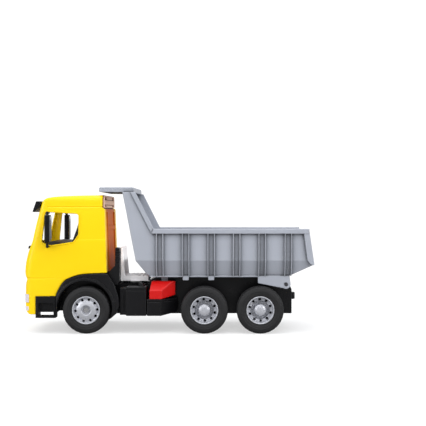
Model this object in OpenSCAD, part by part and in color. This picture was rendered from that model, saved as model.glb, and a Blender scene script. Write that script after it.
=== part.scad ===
// Three-axle toy dump truck, in millimetres.
// Front of the truck is -X, its left side is -Y, the ground is Z = 0.
// Origin: bottom centre of the overall box.
// Paired parts are drawn on the left side and mirrored to the right.

/* [Wheels] */
// Wheel diameter over the tread
wheel_d = 102; // [99:0.5:103]
// Tyre width
tyre_w = 38; // [36:0.5:39]
// Distance of a wheel's middle from the truck's centre plane
track_half = 94; // [93:0.5:95]
// Diameter of the steel axle rods
axle_d = 6; // [5:0.1:6.2]
// Number of round holes in a rim
rim_holes = 10; // [8:1:12]
// Front axle position along the truck
axle1_x = -181.4; // [-182.5:0.1:-180.5]
// Middle axle position along the truck
axle2_x = 72.7; // [70:0.1:75]
// Rear axle position along the truck
axle3_x = 193.3; // [191:0.1:195]

/* [Chassis] */
// Half width of the chassis box
chassis_hw = 47; // [45:0.5:48]
// Wall of the chassis moulding
chassis_t = 3.5; // [2.5:0.1:4]

/* [Cab] */
// Half width of the cab
cab_hw = 106; // [104:0.5:106]
// Wall of the cab shell
cab_t = 3; // [2:0.1:3.4]

/* [Dump body] */
// Half width of the body's side walls
body_hw = 107; // [105:0.5:107]
// Half width over the rim
rim_hw = 113; // [112:0.5:114]
// Wall of the body moulding
body_t = 3; // [2.4:0.1:3.4]
// Height of the body's rim above the ground
rim_z = 226; // [222:0.5:230]
// Pivot position along the truck
pivot_x = 249.7; // [249:0.1:250.5]
// Pivot height above the ground
pivot_z = 105.5; // [105:0.1:106]
// Diameter of the pivot pin
pin_d = 7.2; // [6.5:0.1:7.6]

/* [Latch] */
// Position of the latch loop's middle along the truck
loop_x = -15.4; // [-17:0.1:-14]
// Height of the latch loop's middle
loop_z = 101.7; // [101:0.1:102]

/* [Hidden] */

// Shift along the truck that puts the origin below the middle of the overall box
centre_shift = 3.1;
wheel_r = wheel_d / 2;
axle_r = axle_d / 2;
pin_r = pin_d / 2;
axles_x = [axle1_x, axle2_x, axle3_x];
// Outer side of the chassis plus a small gap, where side parts end
chassis_side = chassis_hw + 0.05;
// Screw places under the deck plate and under the cab interior
deck_screws_x = [-104, -64];
cab_screws_x = [-262, -160];
screws_y = [-30, 30];

yellow = "gold";
body_grey = "lightslategray";
black = [0.09, 0.09, 0.1];
lens_white = [0.88, 0.88, 0.92];

// ---- helpers -------------------------------------------------------
// A profile drawn in Y,Z and given a length from x0 to x1
module extrude_x(x0, x1)
  translate([x0, 0, 0]) rotate([90, 0, 90]) linear_extrude(height = x1 - x0) children();
// A profile drawn in X,Z and given a thickness from y0 to y1
module extrude_y(y0, y1)
  translate([0, y1, 0]) rotate([90, 0, 0]) linear_extrude(height = y1 - y0) children();
// A profile drawn in X,Y and given a height from z0 to z1
module extrude_z(z0, z1) translate([0, 0, z0]) linear_extrude(height = z1 - z0) children();
// A box from its lowest corner to its highest
module box(low, high) translate(low) cube(high - low);
// Round bars along Y and along Z
module bar_y(x, z, radius, y0, y1, fn = 48)
  translate([x, y1, z]) rotate([90, 0, 0]) cylinder(r = radius, h = y1 - y0, $fn = fn);
module bar_z(x, y, radius, z0, z1, fn = 32)
  translate([x, y, z0]) cylinder(r = radius, h = z1 - z0, $fn = fn);
// Bars along Z at every screw place of a row
module screw_bars(row_x, radius, z0, z1, fn = 32)
  for (x = row_x, y = screws_y) bar_z(x, y, radius, z0, z1, fn);
module right() mirror([0, 1, 0]) children();
module both() {
  children();
  right() children();
}
module centred() translate([centre_shift, 0, 0]) children();

function unit(v) = v / norm(v);
function reversed(list) = [for (i = [len(list) - 1:-1:0]) list[i]];
function point(entry) = [entry[0], entry[1]];
// Arc points that round the corner at tip, between its two neighbours
function corner(before, tip, after, radius, steps) =
  let (to_before = unit(before - tip), to_after = unit(after - tip),
       angle = acos(max(-1, min(1, to_before * to_after))),
       reach = radius / tan(angle / 2),
       centre = tip + unit(to_before + to_after) * radius / sin(angle / 2),
       first = tip + to_before * reach - centre,
       last = tip + to_after * reach - centre,
       start = atan2(first[1], first[0]),
       turn = atan2(last[1], last[0]) - start,
       sweep = turn > 180 ? turn - 360 : (turn < -180 ? turn + 360 : turn))
  [for (i = [0:steps])
    centre + radius * [cos(start + sweep * i / steps), sin(start + sweep * i / steps)]];
// Rounds an outline whose entries are [x, y] or [x, y, corner radius]
function rounded(outline, steps = 4) = [for (i = [0:len(outline) - 1])
  let (count = len(outline),
       before = point(outline[(i + count - 1) % count]),
       tip = point(outline[i]),
       after = point(outline[(i + 1) % count]),
       radius = len(outline[i]) > 2 ? outline[i][2] : 0)
  each (radius > 0 ? corner(before, tip, after, radius, steps) : [tip])];
// Moves every side of a counter-clockwise outline inwards
function inset(outline, distance) = [for (i = [0:len(outline) - 1])
  let (count = len(outline), tip = outline[i],
       edge_in = unit(tip - outline[(i + count - 1) % count]),
       edge_out = unit(outline[(i + 1) % count] - tip),
       normal_in = [-edge_in[1], edge_in[0]],
       normal_out = [-edge_out[1], edge_out[0]])
  tip + distance * (normal_in + normal_out) / (1 + normal_in * normal_out)];

// ---- wheels --------------------------------------------------------
// Wheel parts are drawn with the wheel's outer face towards +Z.
// Their profiles list [radius, z].
rim_bore_r = axle_r + 0.1;

// Places a wheel part: side -1 is left, +1 is right
module wheel_at(x, side)
  translate([x, side * track_half, wheel_r]) rotate([-90 * side, 0, 0]) children();

module tyre() {
  half = tyre_w / 2;
  groove_r = wheel_r - 1.4;
  shoulder_r = wheel_r - 1.6;
  color([0.16, 0.16, 0.17]) rotate_extrude($fn = 96) polygon([
    // inner side wall
    [28.6, -half + 2.5], [31, -half + 1.5], [36, -half + 0.4], [41, -half], [46, -half + 1],
    // tread with two grooves
    [shoulder_r, -half + 3.5], [wheel_r, -half + 7.5],
    [wheel_r, -7], [groove_r, -6.6], [groove_r, -4.6], [wheel_r, -4.2],
    [wheel_r, 4.2], [groove_r, 4.6], [groove_r, 6.6], [wheel_r, 7],
    [wheel_r, half - 7.5], [shoulder_r, half - 3.5],
    // outer side wall
    [46, half - 1], [41, half], [39.6, half - 0.2], [38.8, half - 0.9], [37.8, half - 0.3],
    [34, half - 1], [32.4, half - 1.8], [30.2, half - 2.4], [30.2, 15.9], [28.6, 15.9]]);
}

// Repeats a part once for every rim hole
module around_rim(radius, z, start_angle)
  for (i = [0:rim_holes - 1])
    rotate([0, 0, i * 360 / rim_holes + start_angle]) translate([radius, 0, z]) children();
module rim_cut(z0, z1, start_angle)
  around_rim(23.3, z0, start_angle) cylinder(r = 2.9, h = z1 - z0, $fn = 24);

module rim_front() color("silver") difference() {
  rotate_extrude($fn = 96) polygon([
    [rim_bore_r, -20], [8, -20], [8, 6], [26, 9], [26, -16], [28.5, -16], [28.5, 16], [30, 16],
    [30, 17.8], [29.2, 18.4], [28.2, 18.2], [27.3, 16.8], [26.3, 12.6], [25, 11.9], [22, 13.6],
    [17, 15.8], [12.5, 16.8], [10.8, 16.8], [9.9, 16.1], [9.5, 10], [rim_bore_r, 10]]);
  rim_cut(6, 16, 4);
}
// Rim of the middle and rear wheels
module rim_rear() color("silver") difference() {
  union() {
    // wheel nuts in the trench round the hub
    around_rim(16.3, -4, 3) cylinder(r = 1.5, h = 6, $fn = 12);
    rotate_extrude($fn = 96) polygon([
      [rim_bore_r, -20], [8, -20], [8, -6], [20.6, -6], [22, 1], [26, 1], [26, -16],
      [28.5, -16], [28.5, 16], [30, 16], [30, 17.8], [29.2, 18.4], [28.2, 18.2], [27.2, 16.8],
      [26.4, 8], [25.2, 6.4], [20.6, 5.6], [19.9, 4.7], [19.4, -3], [13.2, -3], [12.9, 4.7],
      [10.4, 4.7], [10.4, 10], [rim_bore_r, 10]]);
  }
  rim_cut(-8, 10, 21);
}
module hub_cap() color("silver") rotate_extrude($fn = 64) polygon([
  [10.5, 4.9], [12.5, 4.9], [12.5, 12.6], [12.1, 13.6], [10.6, 14.9], [8, 16], [5, 16.7], [0, 17],
  [0, 15.2], [5, 14.9], [8.5, 13.6], [10.5, 12]]);

// Axle rod; overhang is its length past the wheels' middles
module axle(x, overhang)
  color("lightgray") bar_y(x, wheel_r, axle_r, -track_half - overhang, track_half + overhang);

// Ring on an axle end, from retainer_z outwards to top
retainer_z = 10.3;
module retainer(x, side, radius, top) wheel_at(x, side) difference() {
  thickness = top - retainer_z;
  translate([0, 0, retainer_z]) cylinder(r = radius, h = thickness, $fn = 48);
  translate([0, 0, retainer_z - 1]) cylinder(r = axle_r, h = thickness + 2, $fn = 48);
}
module axle_retainers() color("lightgray") for (side = [-1, 1]) {
  retainer(axle1_x, side, 5.5, 11.8);
  for (x = [axle2_x, axle3_x]) retainer(x, side, 6.5, 11.5);
}

// ---- chassis -------------------------------------------------------
chassis_front_x = -288;
chassis_rear_x = 266.4;
chassis_front_top = 104;
chassis_rear_top = 118;
inner_hw = chassis_hw - chassis_t;
// Half length of the solid block round each axle
axle_block = 11;
// Front face of the cross wall where the chassis top steps up
step_wall_x = -49;

// [x, z]
chassis_outline = [
  [chassis_front_x, 54], [-268, 44], [-125, 37], [chassis_rear_x, 37],
  [chassis_rear_x, 91], [262.6, 99], [257, 112], [251, chassis_rear_top],
  [-34, chassis_rear_top], [-50, 110], [-50, chassis_front_top],
  [chassis_front_x, chassis_front_top]];
// Bay outlines from front to rear, [x, z], open below
bay_low = 20;
front_roof = chassis_front_top - chassis_t;
rear_roof = chassis_rear_top - chassis_t;
function plain_bay(x0, x1, roof) = [[x0, bay_low], [x1, bay_low], [x1, roof], [x0, roof]];
chassis_bays = [
  plain_bay(chassis_front_x + chassis_t, axle1_x - axle_block, front_roof),
  plain_bay(axle1_x + axle_block, step_wall_x, front_roof),
  [[step_wall_x + chassis_t, bay_low], [axle2_x - axle_block, bay_low],
   [axle2_x - axle_block, rear_roof], [-31, rear_roof], [step_wall_x + chassis_t, 107.6]],
  plain_bay(axle2_x + axle_block, axle3_x - axle_block, rear_roof),
  [[axle3_x + axle_block, bay_low], [chassis_rear_x - chassis_t, bay_low],
   [chassis_rear_x - chassis_t, 88], [238, 92], [232, rear_roof],
   [axle3_x + axle_block, rear_roof]]];

module chassis_frame() color(black) difference() {
  tube_end = track_half - 20.4;
  union() {
    difference() {
      extrude_y(-chassis_hw, chassis_hw) polygon(chassis_outline);
      for (bay = chassis_bays) extrude_y(-inner_hw, inner_hw) polygon(bay);
      // pockets in the axle blocks
      for (x = axles_x) box([x - 7.5, -inner_hw, 64], [x + 7.5, inner_hw, 100.4]);
    }
    // axle tubes out to the wheels
    for (x = axles_x) bar_y(x, wheel_r, 9, -tube_end, tube_end);
    // tube that carries the pivot pin
    bar_y(pivot_x, pivot_z, 7.5, -90.4, 90.4);
    // posts under the deck plate
    screw_bars(deck_screws_x, 5, 103, 108.9);
  }
  for (x = axles_x) bar_y(x, wheel_r, axle_r, -100, 100);
  bar_y(pivot_x, pivot_z, pin_r, -100, 100);
  screw_bars(deck_screws_x, 1.6, 90, 115, 24);
  screw_bars(cab_screws_x, 1.6, 90, 115, 24);
}
// Screws with the head below and the shank upwards
module frame_screws() color("silver") {
  head_top = 100.4;
  for (row = [deck_screws_x, cab_screws_x]) {
    screw_bars(row, 3.2, head_top - 2.4, head_top, 24);
    screw_bars(row, 1.5, head_top - 0.5, head_top + 14, 24);
  }
}
module tow_coupling() color(black) difference() {
  front_x = chassis_rear_x + 0.05;
  union() {
    extrude_z(65.2, 80.2) polygon(rounded([
      [front_x, -11], [273.4, -11, 3.4], [277.3, -6, 3],
      [277.3, 6, 3], [273.4, 11, 3.4], [front_x, 11]]));
    // flange on the chassis end wall
    box([front_x, -15, 61.5], [267.9, 15, 84]);
  }
  bar_z(272.4, 0, 2.6, 60, 90);
}

// ---- deck behind the cab -------------------------------------------
// Deck with an upstand along its front edge, [x, z]
deck_outline = [
  [-114, 109], [-52, 109], [-52, 118.8], [-53.2, 120], [-103.4, 120], [-104.4, 122],
  [-109.8, 183], [-110.6, 184], [-113.5, 184], [-114, 183]];
module deck_plate() color([0.86, 0.87, 0.88]) difference() {
  union() {
    difference() {
      extrude_y(-46, 46) polygon(deck_outline);
      // hollow from below
      box([-111, -43, 100], [-55, 43, 116.8]);
      // hollow at the rear of the upstand
      box([-111, -43, 123], [-90, 43, 200]);
    }
    // anti-slip bars
    for (i = [0:4]) box([-94 + i * 8.6, -44, 119.9], [-90 + i * 8.6, 44, 121]);
    // screw posts
    screw_bars(deck_screws_x, 4.6, 108.9, 117.5);
    // lips along the lower side edges
    for (y = [-50, 50]) box([-92, y - 4, 109], [-70, y + 4, 111.5]);
  }
  screw_bars(deck_screws_x, 1.5, 100, 115.5, 24);
}

// Column outlines, [x, z, corner radius]
intake_left = [
  [-136, 104.2], [-115.6, 104.2], [-111.6, 112], [-111.2, 184, 2.5], [-120.8, 186, 2.5],
  [-121.5, 146], [-136.4, 130.6]];
intake_right = [
  [-136, 104.2], [-115.6, 104.2], [-112, 112], [-112, 128], [-118, 140], [-136.4, 130.6]];
module air_intake() color(black) difference() {
  union() {
    // tall left column, low right column and the bar that joins them
    extrude_y(-94, -66) polygon(rounded(intake_left));
    extrude_y(66, 94) polygon(rounded(intake_right));
    for (span = [[-66, 47], [40, 70]])
      box([-136, span[0], 104.1], [-115.6, span[1], 112]);
  }
  // grille slots on the outer face of the left column
  for (i = [0:5]) box([-119.2, -95, 150 + i * 5.4], [-112.6, -92.6, 153 + i * 5.4]);
}

// ---- tanks and boxes -----------------------------------------------
module side_tank() color(black) union() {
  extrude_z(38.6, 100.8) polygon(rounded([
    [-96, -54], [-96, -108, 3], [-52.4, -108, 2], [-52.4, -54]]));
  // block at the front end
  box([-110, -101, 40], [-95.9, -54, 98]);
  // lugs to the chassis
  for (z = [50, 84]) box([-90, -55, z], [-58, -chassis_side, z + 8]);
}
module side_box() color(black) union() {
  intersection() {
    extrude_z(30, 74.2) polygon(rounded([
      [-51.4, -54], [-51.4, -106.6, 1.5], [-48, -108, 1],
      [-21, -108, 2], [13, -76], [13, -54]]));
    extrude_y(-110, -50) polygon([
      [-51.5, 38.6], [-21, 38.6], [13.2, 44], [13.2, 74.4], [-51.5, 74.4]]);
  }
  // lug to the chassis
  box([-44, -55, 50], [0, -chassis_side, 62]);
}
module filler_caps() color(black) both() {
  bar_z(-64.5, -78, 7.5, 100.9, 105.2, 40);
  bar_z(-64.5, -78, 4.6, 105.1, 107.4, 40);
}

// ---- latch ---------------------------------------------------------
guide_pins_x = [-36, -12];
guide_pin_z = 87;
guide_pin_r = 3;
module guide_pins(radius, y0, y1)
  for (x = guide_pins_x) bar_y(x, guide_pin_z, radius, y0, y1, 40);

module latch_lever() color("red") difference() {
  union() {
    // block cut to its plan, side and end outlines
    intersection() {
      extrude_z(70, 120) polygon(rounded([
        [-45.9, -68], [-45.9, -107.6, 1.2], [-19.7, -107.6, 2], [9, -80, 2], [9, -68]]));
      extrude_y(-110, -60) polygon([
        [-45.9, 74.7], [-19.7, 74.7], [9, 81.5], [9, 112], [-41.6, 112], [-45.9, 92.2]]);
      extrude_x(-60, 20) polygon([
        [-107.7, 70], [-60, 70], [-60, 112], [-86, 112], [-107.7, 92.2]]);
    }
    // peg towards the loop on the body
    bar_y(loop_x, loop_z, 4.5, -68.5, -60.2, 40);
  }
  guide_pins(guide_pin_r + 0.1, -86, -60);
}
module latch_guide() color(black) union() {
  box([-44, -50.4, 74.6], [6, -chassis_side, 99.6]);
  guide_pins(guide_pin_r, -77.5, -50);
}

// ---- front fender and step -----------------------------------------
// Middle of the wheel arch
arch_x = -185;
arch_z = 54.5;
// [x, z, corner radius]
fender_outline = [
  [-246.8, 46], [-247, 80.2], [-244.6, 88.6], [-231.4, 110.7, 20], [-216.2, 120.4, 20],
  [-189.4, 127.9, 40], [-152, 129.8], [-137, 129.8, 6], [-122, 108, 25], [-112.4, 80, 40],
  [-110.4, 61, 6], [-116, 44, 3], [-131, 31, 2], [-160, 40], [-185, 60], [-225, 47]];
module fender() color(black) difference() {
  intersection() {
    extrude_y(-110, -72) polygon(rounded(fender_outline, 3));
    // arch lining, outer skin and thicker rear part
    union() {
      bar_y(arch_x, arch_z, 62.8, -110, -72, 96);
      box([-260, -110, 20], [-100, -106.4, 140]);
      box([-150, -110, 20], [-100, -98, 129]);
    }
  }
  bar_y(arch_x, arch_z, 59.5, -120, -60, 96);
}
module step_box() color(black) difference() {
  extrude_z(34, 80.5) polygon(rounded([
    [-291.2, -84], [-291.2, -107.5, 3], [-247.3, -107.5, 2], [-247.3, -84]]));
  // recess in the outer face and an opening through the box below it
  box([-284, -120, 48], [-252, -98, 66]);
  box([-284, -120, 38.6], [-252, -80, 47]);
  // shallow notches at both ends of the outer face
  box([-292, -108, 67.5], [-287.5, -106.6, 78]);
  box([-250.5, -108, 67.5], [-247, -106.6, 78]);
}

// ---- cab -----------------------------------------------------------
// Side outline of the cab in three runs, [x, z].
// Front: from the bumper's lower edge up to the roof's rear edge
cab_front = [
  [-297, 41.4], [-305, 42.2], [-311.2, 48], [-313.2, 56], [-314.1, 64], [-313.9, 77],
  [-314, 96.6], [-313.2, 106.5], [-311.4, 113], [-310.4, 116.2], [-311, 119.4],
  [-313.8, 123.6], [-316, 131.6], [-315.4, 141], [-313.2, 158], [-309.4, 175], [-305.6, 184],
  [-301.6, 193], [-298.3, 202], [-291.6, 234], [-286.6, 253.8], [-282, 271.2], [-277.6, 284],
  [-271.4, 290.4], [-262, 293.8], [-240, 296.3], [-202, 297.9], [-147.5, 299.2]];
// Rear: downwards
cab_rear = [[-147.5, 271.5], [-142.6, 269], [-138, 131]];
// Underside: forwards over the wheel arch
cab_low = [
  [-152, 130.4], [-189.5, 128.5], [-216.4, 121], [-231.8, 111.3], [-245.2, 89],
  [-247.3, 80.7], [-291.3, 80.7], [-291.3, 41.4]];
cab_closed = concat(cab_front, cab_rear, cab_low);
// The same front, run out below and behind
cab_open = concat([[-297, 20]], cab_front, [[-100, 300.4]], [[-100, 20]]);
// Knee where the cab's sides start to lean in, and the half width at the roof
cab_knee_z = 196;
roof_hw = 99.8;

// Cab form with the side outline given, moved inwards by depth
module cab_form(side_outline, depth) {
  half = cab_hw - depth;
  roof = roof_hw - depth;
  front_x = -0.6 + depth;
  intersection() {
    extrude_y(-120, 120) polygon(inset(reversed(side_outline), depth));
    extrude_z(10, 320) polygon(rounded([
      [-316.8 + depth, -half, 19], [-90, -half], [-90, half], [-316.8 + depth, half, 19]], 6));
    extrude_x(-330, -90) polygon(rounded([
      [-half, 10], [half, 10], [half, cab_knee_z], [roof, 300.2 - depth, 14],
      [-roof, 300.2 - depth, 14], [-half, cab_knee_z]], 5));
    // leaning upper front with rounded corners
    translate([-306.8, 0, 186]) rotate([0, 14.6, 0]) translate([0, 0, -190])
      extrude_z(0, 400) polygon(rounded([
        [front_x, -half, 20], [290, -half], [290, half], [front_x, half, 20]], 6));
  }
}
// A skin of the given height on the cab's surface, within the children
module cab_patch(height) difference() {
  intersection() {
    cab_form(cab_open, -height);
    children();
  }
  cab_form(cab_open, 0);
}

// [x, z, corner radius]
side_window = [
  [-269.8, 262, 5], [-199.4, 257.8, 5], [-199.4, 214, 14],
  [-210, 198.2, 8], [-260.6, 190.4, 12], [-277, 196.5, 5]];
// [y, z, corner radius]
windscreen = [[-88, 199, 12], [88, 199, 12], [82, 266, 10], [-82, 266, 10]];
module cab_shell() color(yellow) difference() {
  cab_form(cab_closed, 0);
  cab_form(cab_open, cab_t);
  extrude_y(-120, 120) polygon(rounded(side_window));
  extrude_x(-330, -266) polygon(rounded(windscreen));
}
module cab_rear_panel() color([0.78, 0.42, 0.12]) union() {
  intersection() {
    extrude_y(-102.8, 102.8) polygon([
      [-142.6, 131.4], [-138.4, 131.4], [-143, 268.8], [-147.2, 268.8]]);
    extrude_x(-160, -120) polygon(rounded([
      [-102.8, 118], [102.8, 118], [102.8, cab_knee_z],
      [96.6, 299.3], [-96.6, 299.3], [-102.8, cab_knee_z]]));
  }
  // two upright beads and a cross bead
  for (y = [-62, 62]) extrude_y(y - 4, y + 4)
    polygon([[-140, 140], [-136.4, 142], [-140.6, 262], [-144, 264]]);
  extrude_y(-58, 58) polygon([[-143, 222], [-139.6, 223], [-139.8, 231], [-143, 232]]);
}
module rear_vent_panel() color([0.9, 0.82, 0.8]) union() {
  intersection() {
    extrude_y(-94.6, 94.6) polygon([
      [-151.5, 269], [-147.9, 269], [-147.9, 272.2],
      [-147.4, 272.2], [-147.4, 293.6], [-151.5, 293.4]]);
    extrude_x(-160, -120) polygon(rounded([
      [-94.6, 260], [94.6, 260], [93, 293.6, 9], [-93, 293.6, 9]]));
  }
  // flange that covers the rear edge of the roof
  difference() {
    intersection() {
      extrude_y(-97, 97) polygon([
        [-147.5, 272.2], [-144.3, 272.2], [-144.5, 298.4], [-147.5, 298.4]]);
      extrude_x(-160, -120) polygon(rounded([
        [-97, 260], [97, 260], [96, 298.4, 11], [-96, 298.4, 11]]));
    }
    // two long slots
    for (z = [277.9, 288.8]) box([-146.3, -86, z - 0.8], [-140, 86, z + 0.8]);
    // four shutter recesses; each row is [z, height]
    for (row = [[273.8, 4], [288.8, 7]], y = [-65, 65])
      box([-146.3, y - 14, row[0]], [-140, y + 14, row[0] + row[1]]);
  }
}
module grille_insert() color(black) cab_patch(0.9) difference() {
  box([-330, -54, 127], [-290, 54, 176]);
  for (i = [0:4]) box([-330, -48, 131.5 + i * 8.8], [-280, 48, 136.1 + i * 8.8]);
}
module headlamp_lenses() color(lens_white) cab_patch(0.7)
  both() box([-330, -105, 67.5], [-305.5, -62, 85]);
module lower_lamp_lenses() color(lens_white) cab_patch(0.7)
  both() box([-330, -104, 50], [-304, -72, 59]);
module sun_visor() color(black) union() {
  extrude_y(-101, 101) polygon([
    [-291.4, 284.6], [-290.4, 285.6], [-279.4, 285.6], [-282.2, 277.6],
    [-285, 272.4], [-290, 266.4], [-296.6, 262], [-298.9, 263.2]]);
  // three stays to the cab
  for (y = [-52, 0, 52]) extrude_y(y - 4, y + 4) polygon([
    [-286, 272.4], [-282.3, 271.3], [-277.9, 284], [-277.9, 285.6], [-283, 285.6]]);
}
module mirror_housing() color(black) union() {
  arm_x = -263;
  extrude_z(196.5, 256) polygon(rounded([
    [-267.5, -131.9, 3], [-256.4, -131.9, 1.2], [-256.4, -109, 1.2], [-267.5, -109, 4]]));
  // arms to the cab, [z, inner end]
  for (arm = [[260.6, -102.5], [188.2, -cab_hw - 0.05]])
    bar_y(arm_x, arm[0], 2.6, -122, arm[1], 32);
  // posts from the housing to the arms, [z0, z1]
  for (post = [[255.5, 263.4], [184.6, 197]]) bar_z(arm_x, -119.6, 3, post[0], post[1]);
}
module mirror_face() color([0.75, 0.77, 0.8])
  box([-256.38, -129.6, 199.4], [-255.2, -111.3, 253]);
module wiper_bars() color(black) both() extrude_y(-74, -16) polygon([
  [-314, 182.4], [-306.6, 182.4], [-304.6, 186.6], [-303.4, 189.4], [-312, 188.2]]);
module interior_tub() color(black) difference() {
  union() {
    // floor, walls and side ledges
    box([-287, -69, 105], [-150, 69, 108]);
    both() box([-287, -69, 107.9], [-150, -66, 134]);
    both() box([-276, -101.6, 131.6], [-150, -66.1, 134]);
    // raised block across the front
    extrude_y(-98, 98) polygon([
      [-286, 134], [-250, 134], [-242, 160], [-234, 186], [-236, 193],
      [-241, 196.4], [-262, 198.6], [-274, 195], [-286, 190]]);
    // screw posts
    screw_bars(cab_screws_x, 4.2, 104.1, 118);
  }
  // hollow in the front block
  box([-285, -96, 108], [-252, 96, 176]);
  screw_bars(cab_screws_x, 1.5, 100, 114.5, 24);
}
module seats() color([0.13, 0.13, 0.14]) both() extrude_y(-82, -27) polygon(rounded([
  [-226, 134.1], [-172, 134.1], [-170, 170], [-182, 232], [-184, 250, 5], [-192, 258, 4],
  [-199, 254, 3], [-204.6, 230], [-215.2, 200], [-224, 170, 4]]));

// ---- dump body -----------------------------------------------------
floor_z = 123.6;
floor_hw = 92;
// Height where the sloping lower sides meet the upright walls
knee_z = 158;
wing_top_z = 305;
band_z = rim_z - 10.4;
// Middles of the hollow ribs, and half the distance between a rib's two plates
rib_x = [-23.3, 32.4, 87.5, 142.2, 197.1, 253.4];
rib_half = 6.85;

// [x, z]
body_side = [
  [-49.3, floor_z], [257, floor_z], [307.6, 147.6], [298.2, rim_z],
  [-37, rim_z], [-76, wing_top_z], [-104, wing_top_z], [-75.3, 157]];
body_hollow = [
  [-47.9, floor_z + body_t], [256.4, floor_z + body_t], [330, 161.5],
  [330, 340], [-108, 340], [-100.2, 300], [-72.4, 158.4]];
// Cross-section, moved inwards by depth
module body_section(depth) {
  half = body_hw - depth;
  low_half = floor_hw - depth;
  low_z = floor_z + depth;
  bend_z = knee_z + depth * 0.3;
  polygon([[-low_half, low_z], [low_half, low_z], [half, bend_z],
    [half, 330], [-half, 330], [-half, bend_z]]);
}
module rib_plate() extrude_x(-0.9, 0.9) polygon([
  [-body_hw + 0.6, 216.5], [-112, 216.5], [-112, knee_z],
  [-97.4, floor_z], [-91, floor_z], [-105.5, 158.2]]);
module pivot_bracket() color(body_grey) difference() {
  union() {
    extrude_y(-95.6, -91) polygon([
      [188.8, 124.4], [188.8, 108], [231, 99.7], [246, 97],
      [256, 98.2], [260, 104], [257.4, 124.4]]);
    bar_y(pivot_x, pivot_z, 9.8, -95.6, -91);
  }
  bar_y(pivot_x, pivot_z, pin_r + 0.08, -100, -80);
}
// Bands along the rim, up the front wing and down the rear edge
module edge_bands() {
  band_in = -body_hw + 0.8;
  extrude_y(-rim_hw, band_in) polygon([
    [-36, rim_z], [-41.4, band_z], [297.6, band_z], [298.6, rim_z]]);
  extrude_y(-110, band_in) polygon([
    [-86.4, wing_top_z], [-76, wing_top_z], [-36.4, rim_z], [-41.2, 217], [-46.8, 226.6]]);
  extrude_y(-rim_hw + 1, band_in) polygon([
    [298.2, rim_z - 1], [286.2, rim_z - 6], [294.4, knee_z],
    [301.4, 149.6], [307.8, 147.6], [309.4, 149]]);
}
// Canopy over the gap behind the cab, with two hollows below
module canopy() difference() {
  extrude_y(-101, 101) polygon([
    [-154.8, 305.9], [-152.8, 305.7], [-79.6, 304.4], [-80.6, 314.4],
    [-82, 316], [-152.8, 316], [-154.8, 314.5]]);
  extrude_y(-98, 98) polygon([
    [-152.2, 300], [-102.8, 300], [-102.8, 313.2], [-152.2, 313.2]]);
  extrude_y(-98, 98) polygon([
    [-99.6, 298], [-83.4, 298], [-83.4, 313.2], [-99.6, 313.2]]);
}
module dump_body() color(body_grey) difference() {
  union() {
    difference() {
      intersection() {
        extrude_y(-120, 120) polygon(body_side);
        extrude_x(-120, 320) body_section(0);
      }
      intersection() {
        extrude_y(-120, 120) polygon(body_hollow);
        extrude_x(-125, 340) body_section(body_t);
      }
    }
    both() {
      edge_bands();
      for (x = rib_x, offset_x = [-rib_half, rib_half])
        translate([x + offset_x, 0, 0]) rib_plate();
      pivot_bracket();
      // feet below the second and third ribs
      for (x = [rib_x[1], rib_x[2]]) box([x - 6.5, -95, 114.4], [x + 6.5, -91.5, 124.6]);
      // lip along the floor's lower edge
      box([-46, -94.2, 121.2], [250, -90.4, 124.8]);
      // runner under the floor
      box([-44, -41, 118.3], [225, -37.5, 124]);
    }
    canopy();
    // latch loop on the left side
    bar_y(loop_x, loop_z, 10, -57.4, -53.4);
    box([loop_x - 7, -57.4, loop_z + 4], [loop_x + 7, -53.4, 124]);
  }
  bar_y(loop_x, loop_z, 5.5, -60, -50, 40);
  // opening in the tail that clears the tow coupling when the body is tipped
  extrude_z(110, 160) polygon(rounded([
    [266.5, -17, 8], [291, -17, 8], [291, 17, 8], [266.5, 17, 8]], 5));
}
module pivot_pin() color([0.25, 0.25, 0.27]) bar_y(pivot_x, pivot_z, pin_r, -96.4, 96.4);

centred() chassis_frame();
centred() deck_plate();
centred() side_tank();  // side_tank_left
centred() right() side_tank();  // side_tank_right
centred() side_box();  // side_box_left
centred() right() side_box();  // side_box_right
centred() filler_caps();
centred() fender();  // front_fender_left
centred() right() fender();  // front_fender_right
centred() step_box();  // step_box_left
centred() right() step_box();  // step_box_right
centred() cab_shell();
centred() cab_rear_panel();
centred() rear_vent_panel();
centred() grille_insert();
centred() headlamp_lenses();
centred() lower_lamp_lenses();
centred() sun_visor();
centred() mirror_housing();  // mirror_housing_left
centred() right() mirror_housing();  // mirror_housing_right
centred() mirror_face();  // mirror_face_left
centred() right() mirror_face();  // mirror_face_right
centred() wiper_bars();
centred() interior_tub();
centred() seats();
centred() air_intake();
centred() axle(axle1_x, 11.6);  // front_axle
centred() axle(axle2_x, 12.2);  // middle_axle
centred() axle(axle3_x, 12.2);  // rear_axle
centred() axle_retainers();
centred() wheel_at(axle1_x, -1) tyre();  // tyre_front_left
centred() wheel_at(axle1_x, 1) tyre();  // tyre_front_right
centred() wheel_at(axle2_x, -1) tyre();  // tyre_middle_left
centred() wheel_at(axle2_x, 1) tyre();  // tyre_middle_right
centred() wheel_at(axle3_x, -1) tyre();  // tyre_rear_left
centred() wheel_at(axle3_x, 1) tyre();  // tyre_rear_right
centred() wheel_at(axle1_x, -1) rim_front();  // rim_front_left
centred() wheel_at(axle1_x, 1) rim_front();  // rim_front_right
centred() wheel_at(axle2_x, -1) rim_rear();  // rim_middle_left
centred() wheel_at(axle2_x, 1) rim_rear();  // rim_middle_right
centred() wheel_at(axle3_x, -1) rim_rear();  // rim_rear_left
centred() wheel_at(axle3_x, 1) rim_rear();  // rim_rear_right
centred() wheel_at(axle2_x, -1) hub_cap();  // hub_cap_middle_left
centred() wheel_at(axle2_x, 1) hub_cap();  // hub_cap_middle_right
centred() wheel_at(axle3_x, -1) hub_cap();  // hub_cap_rear_left
centred() wheel_at(axle3_x, 1) hub_cap();  // hub_cap_rear_right
centred() dump_body();
centred() pivot_pin();
centred() latch_lever();
centred() latch_guide();
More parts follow.
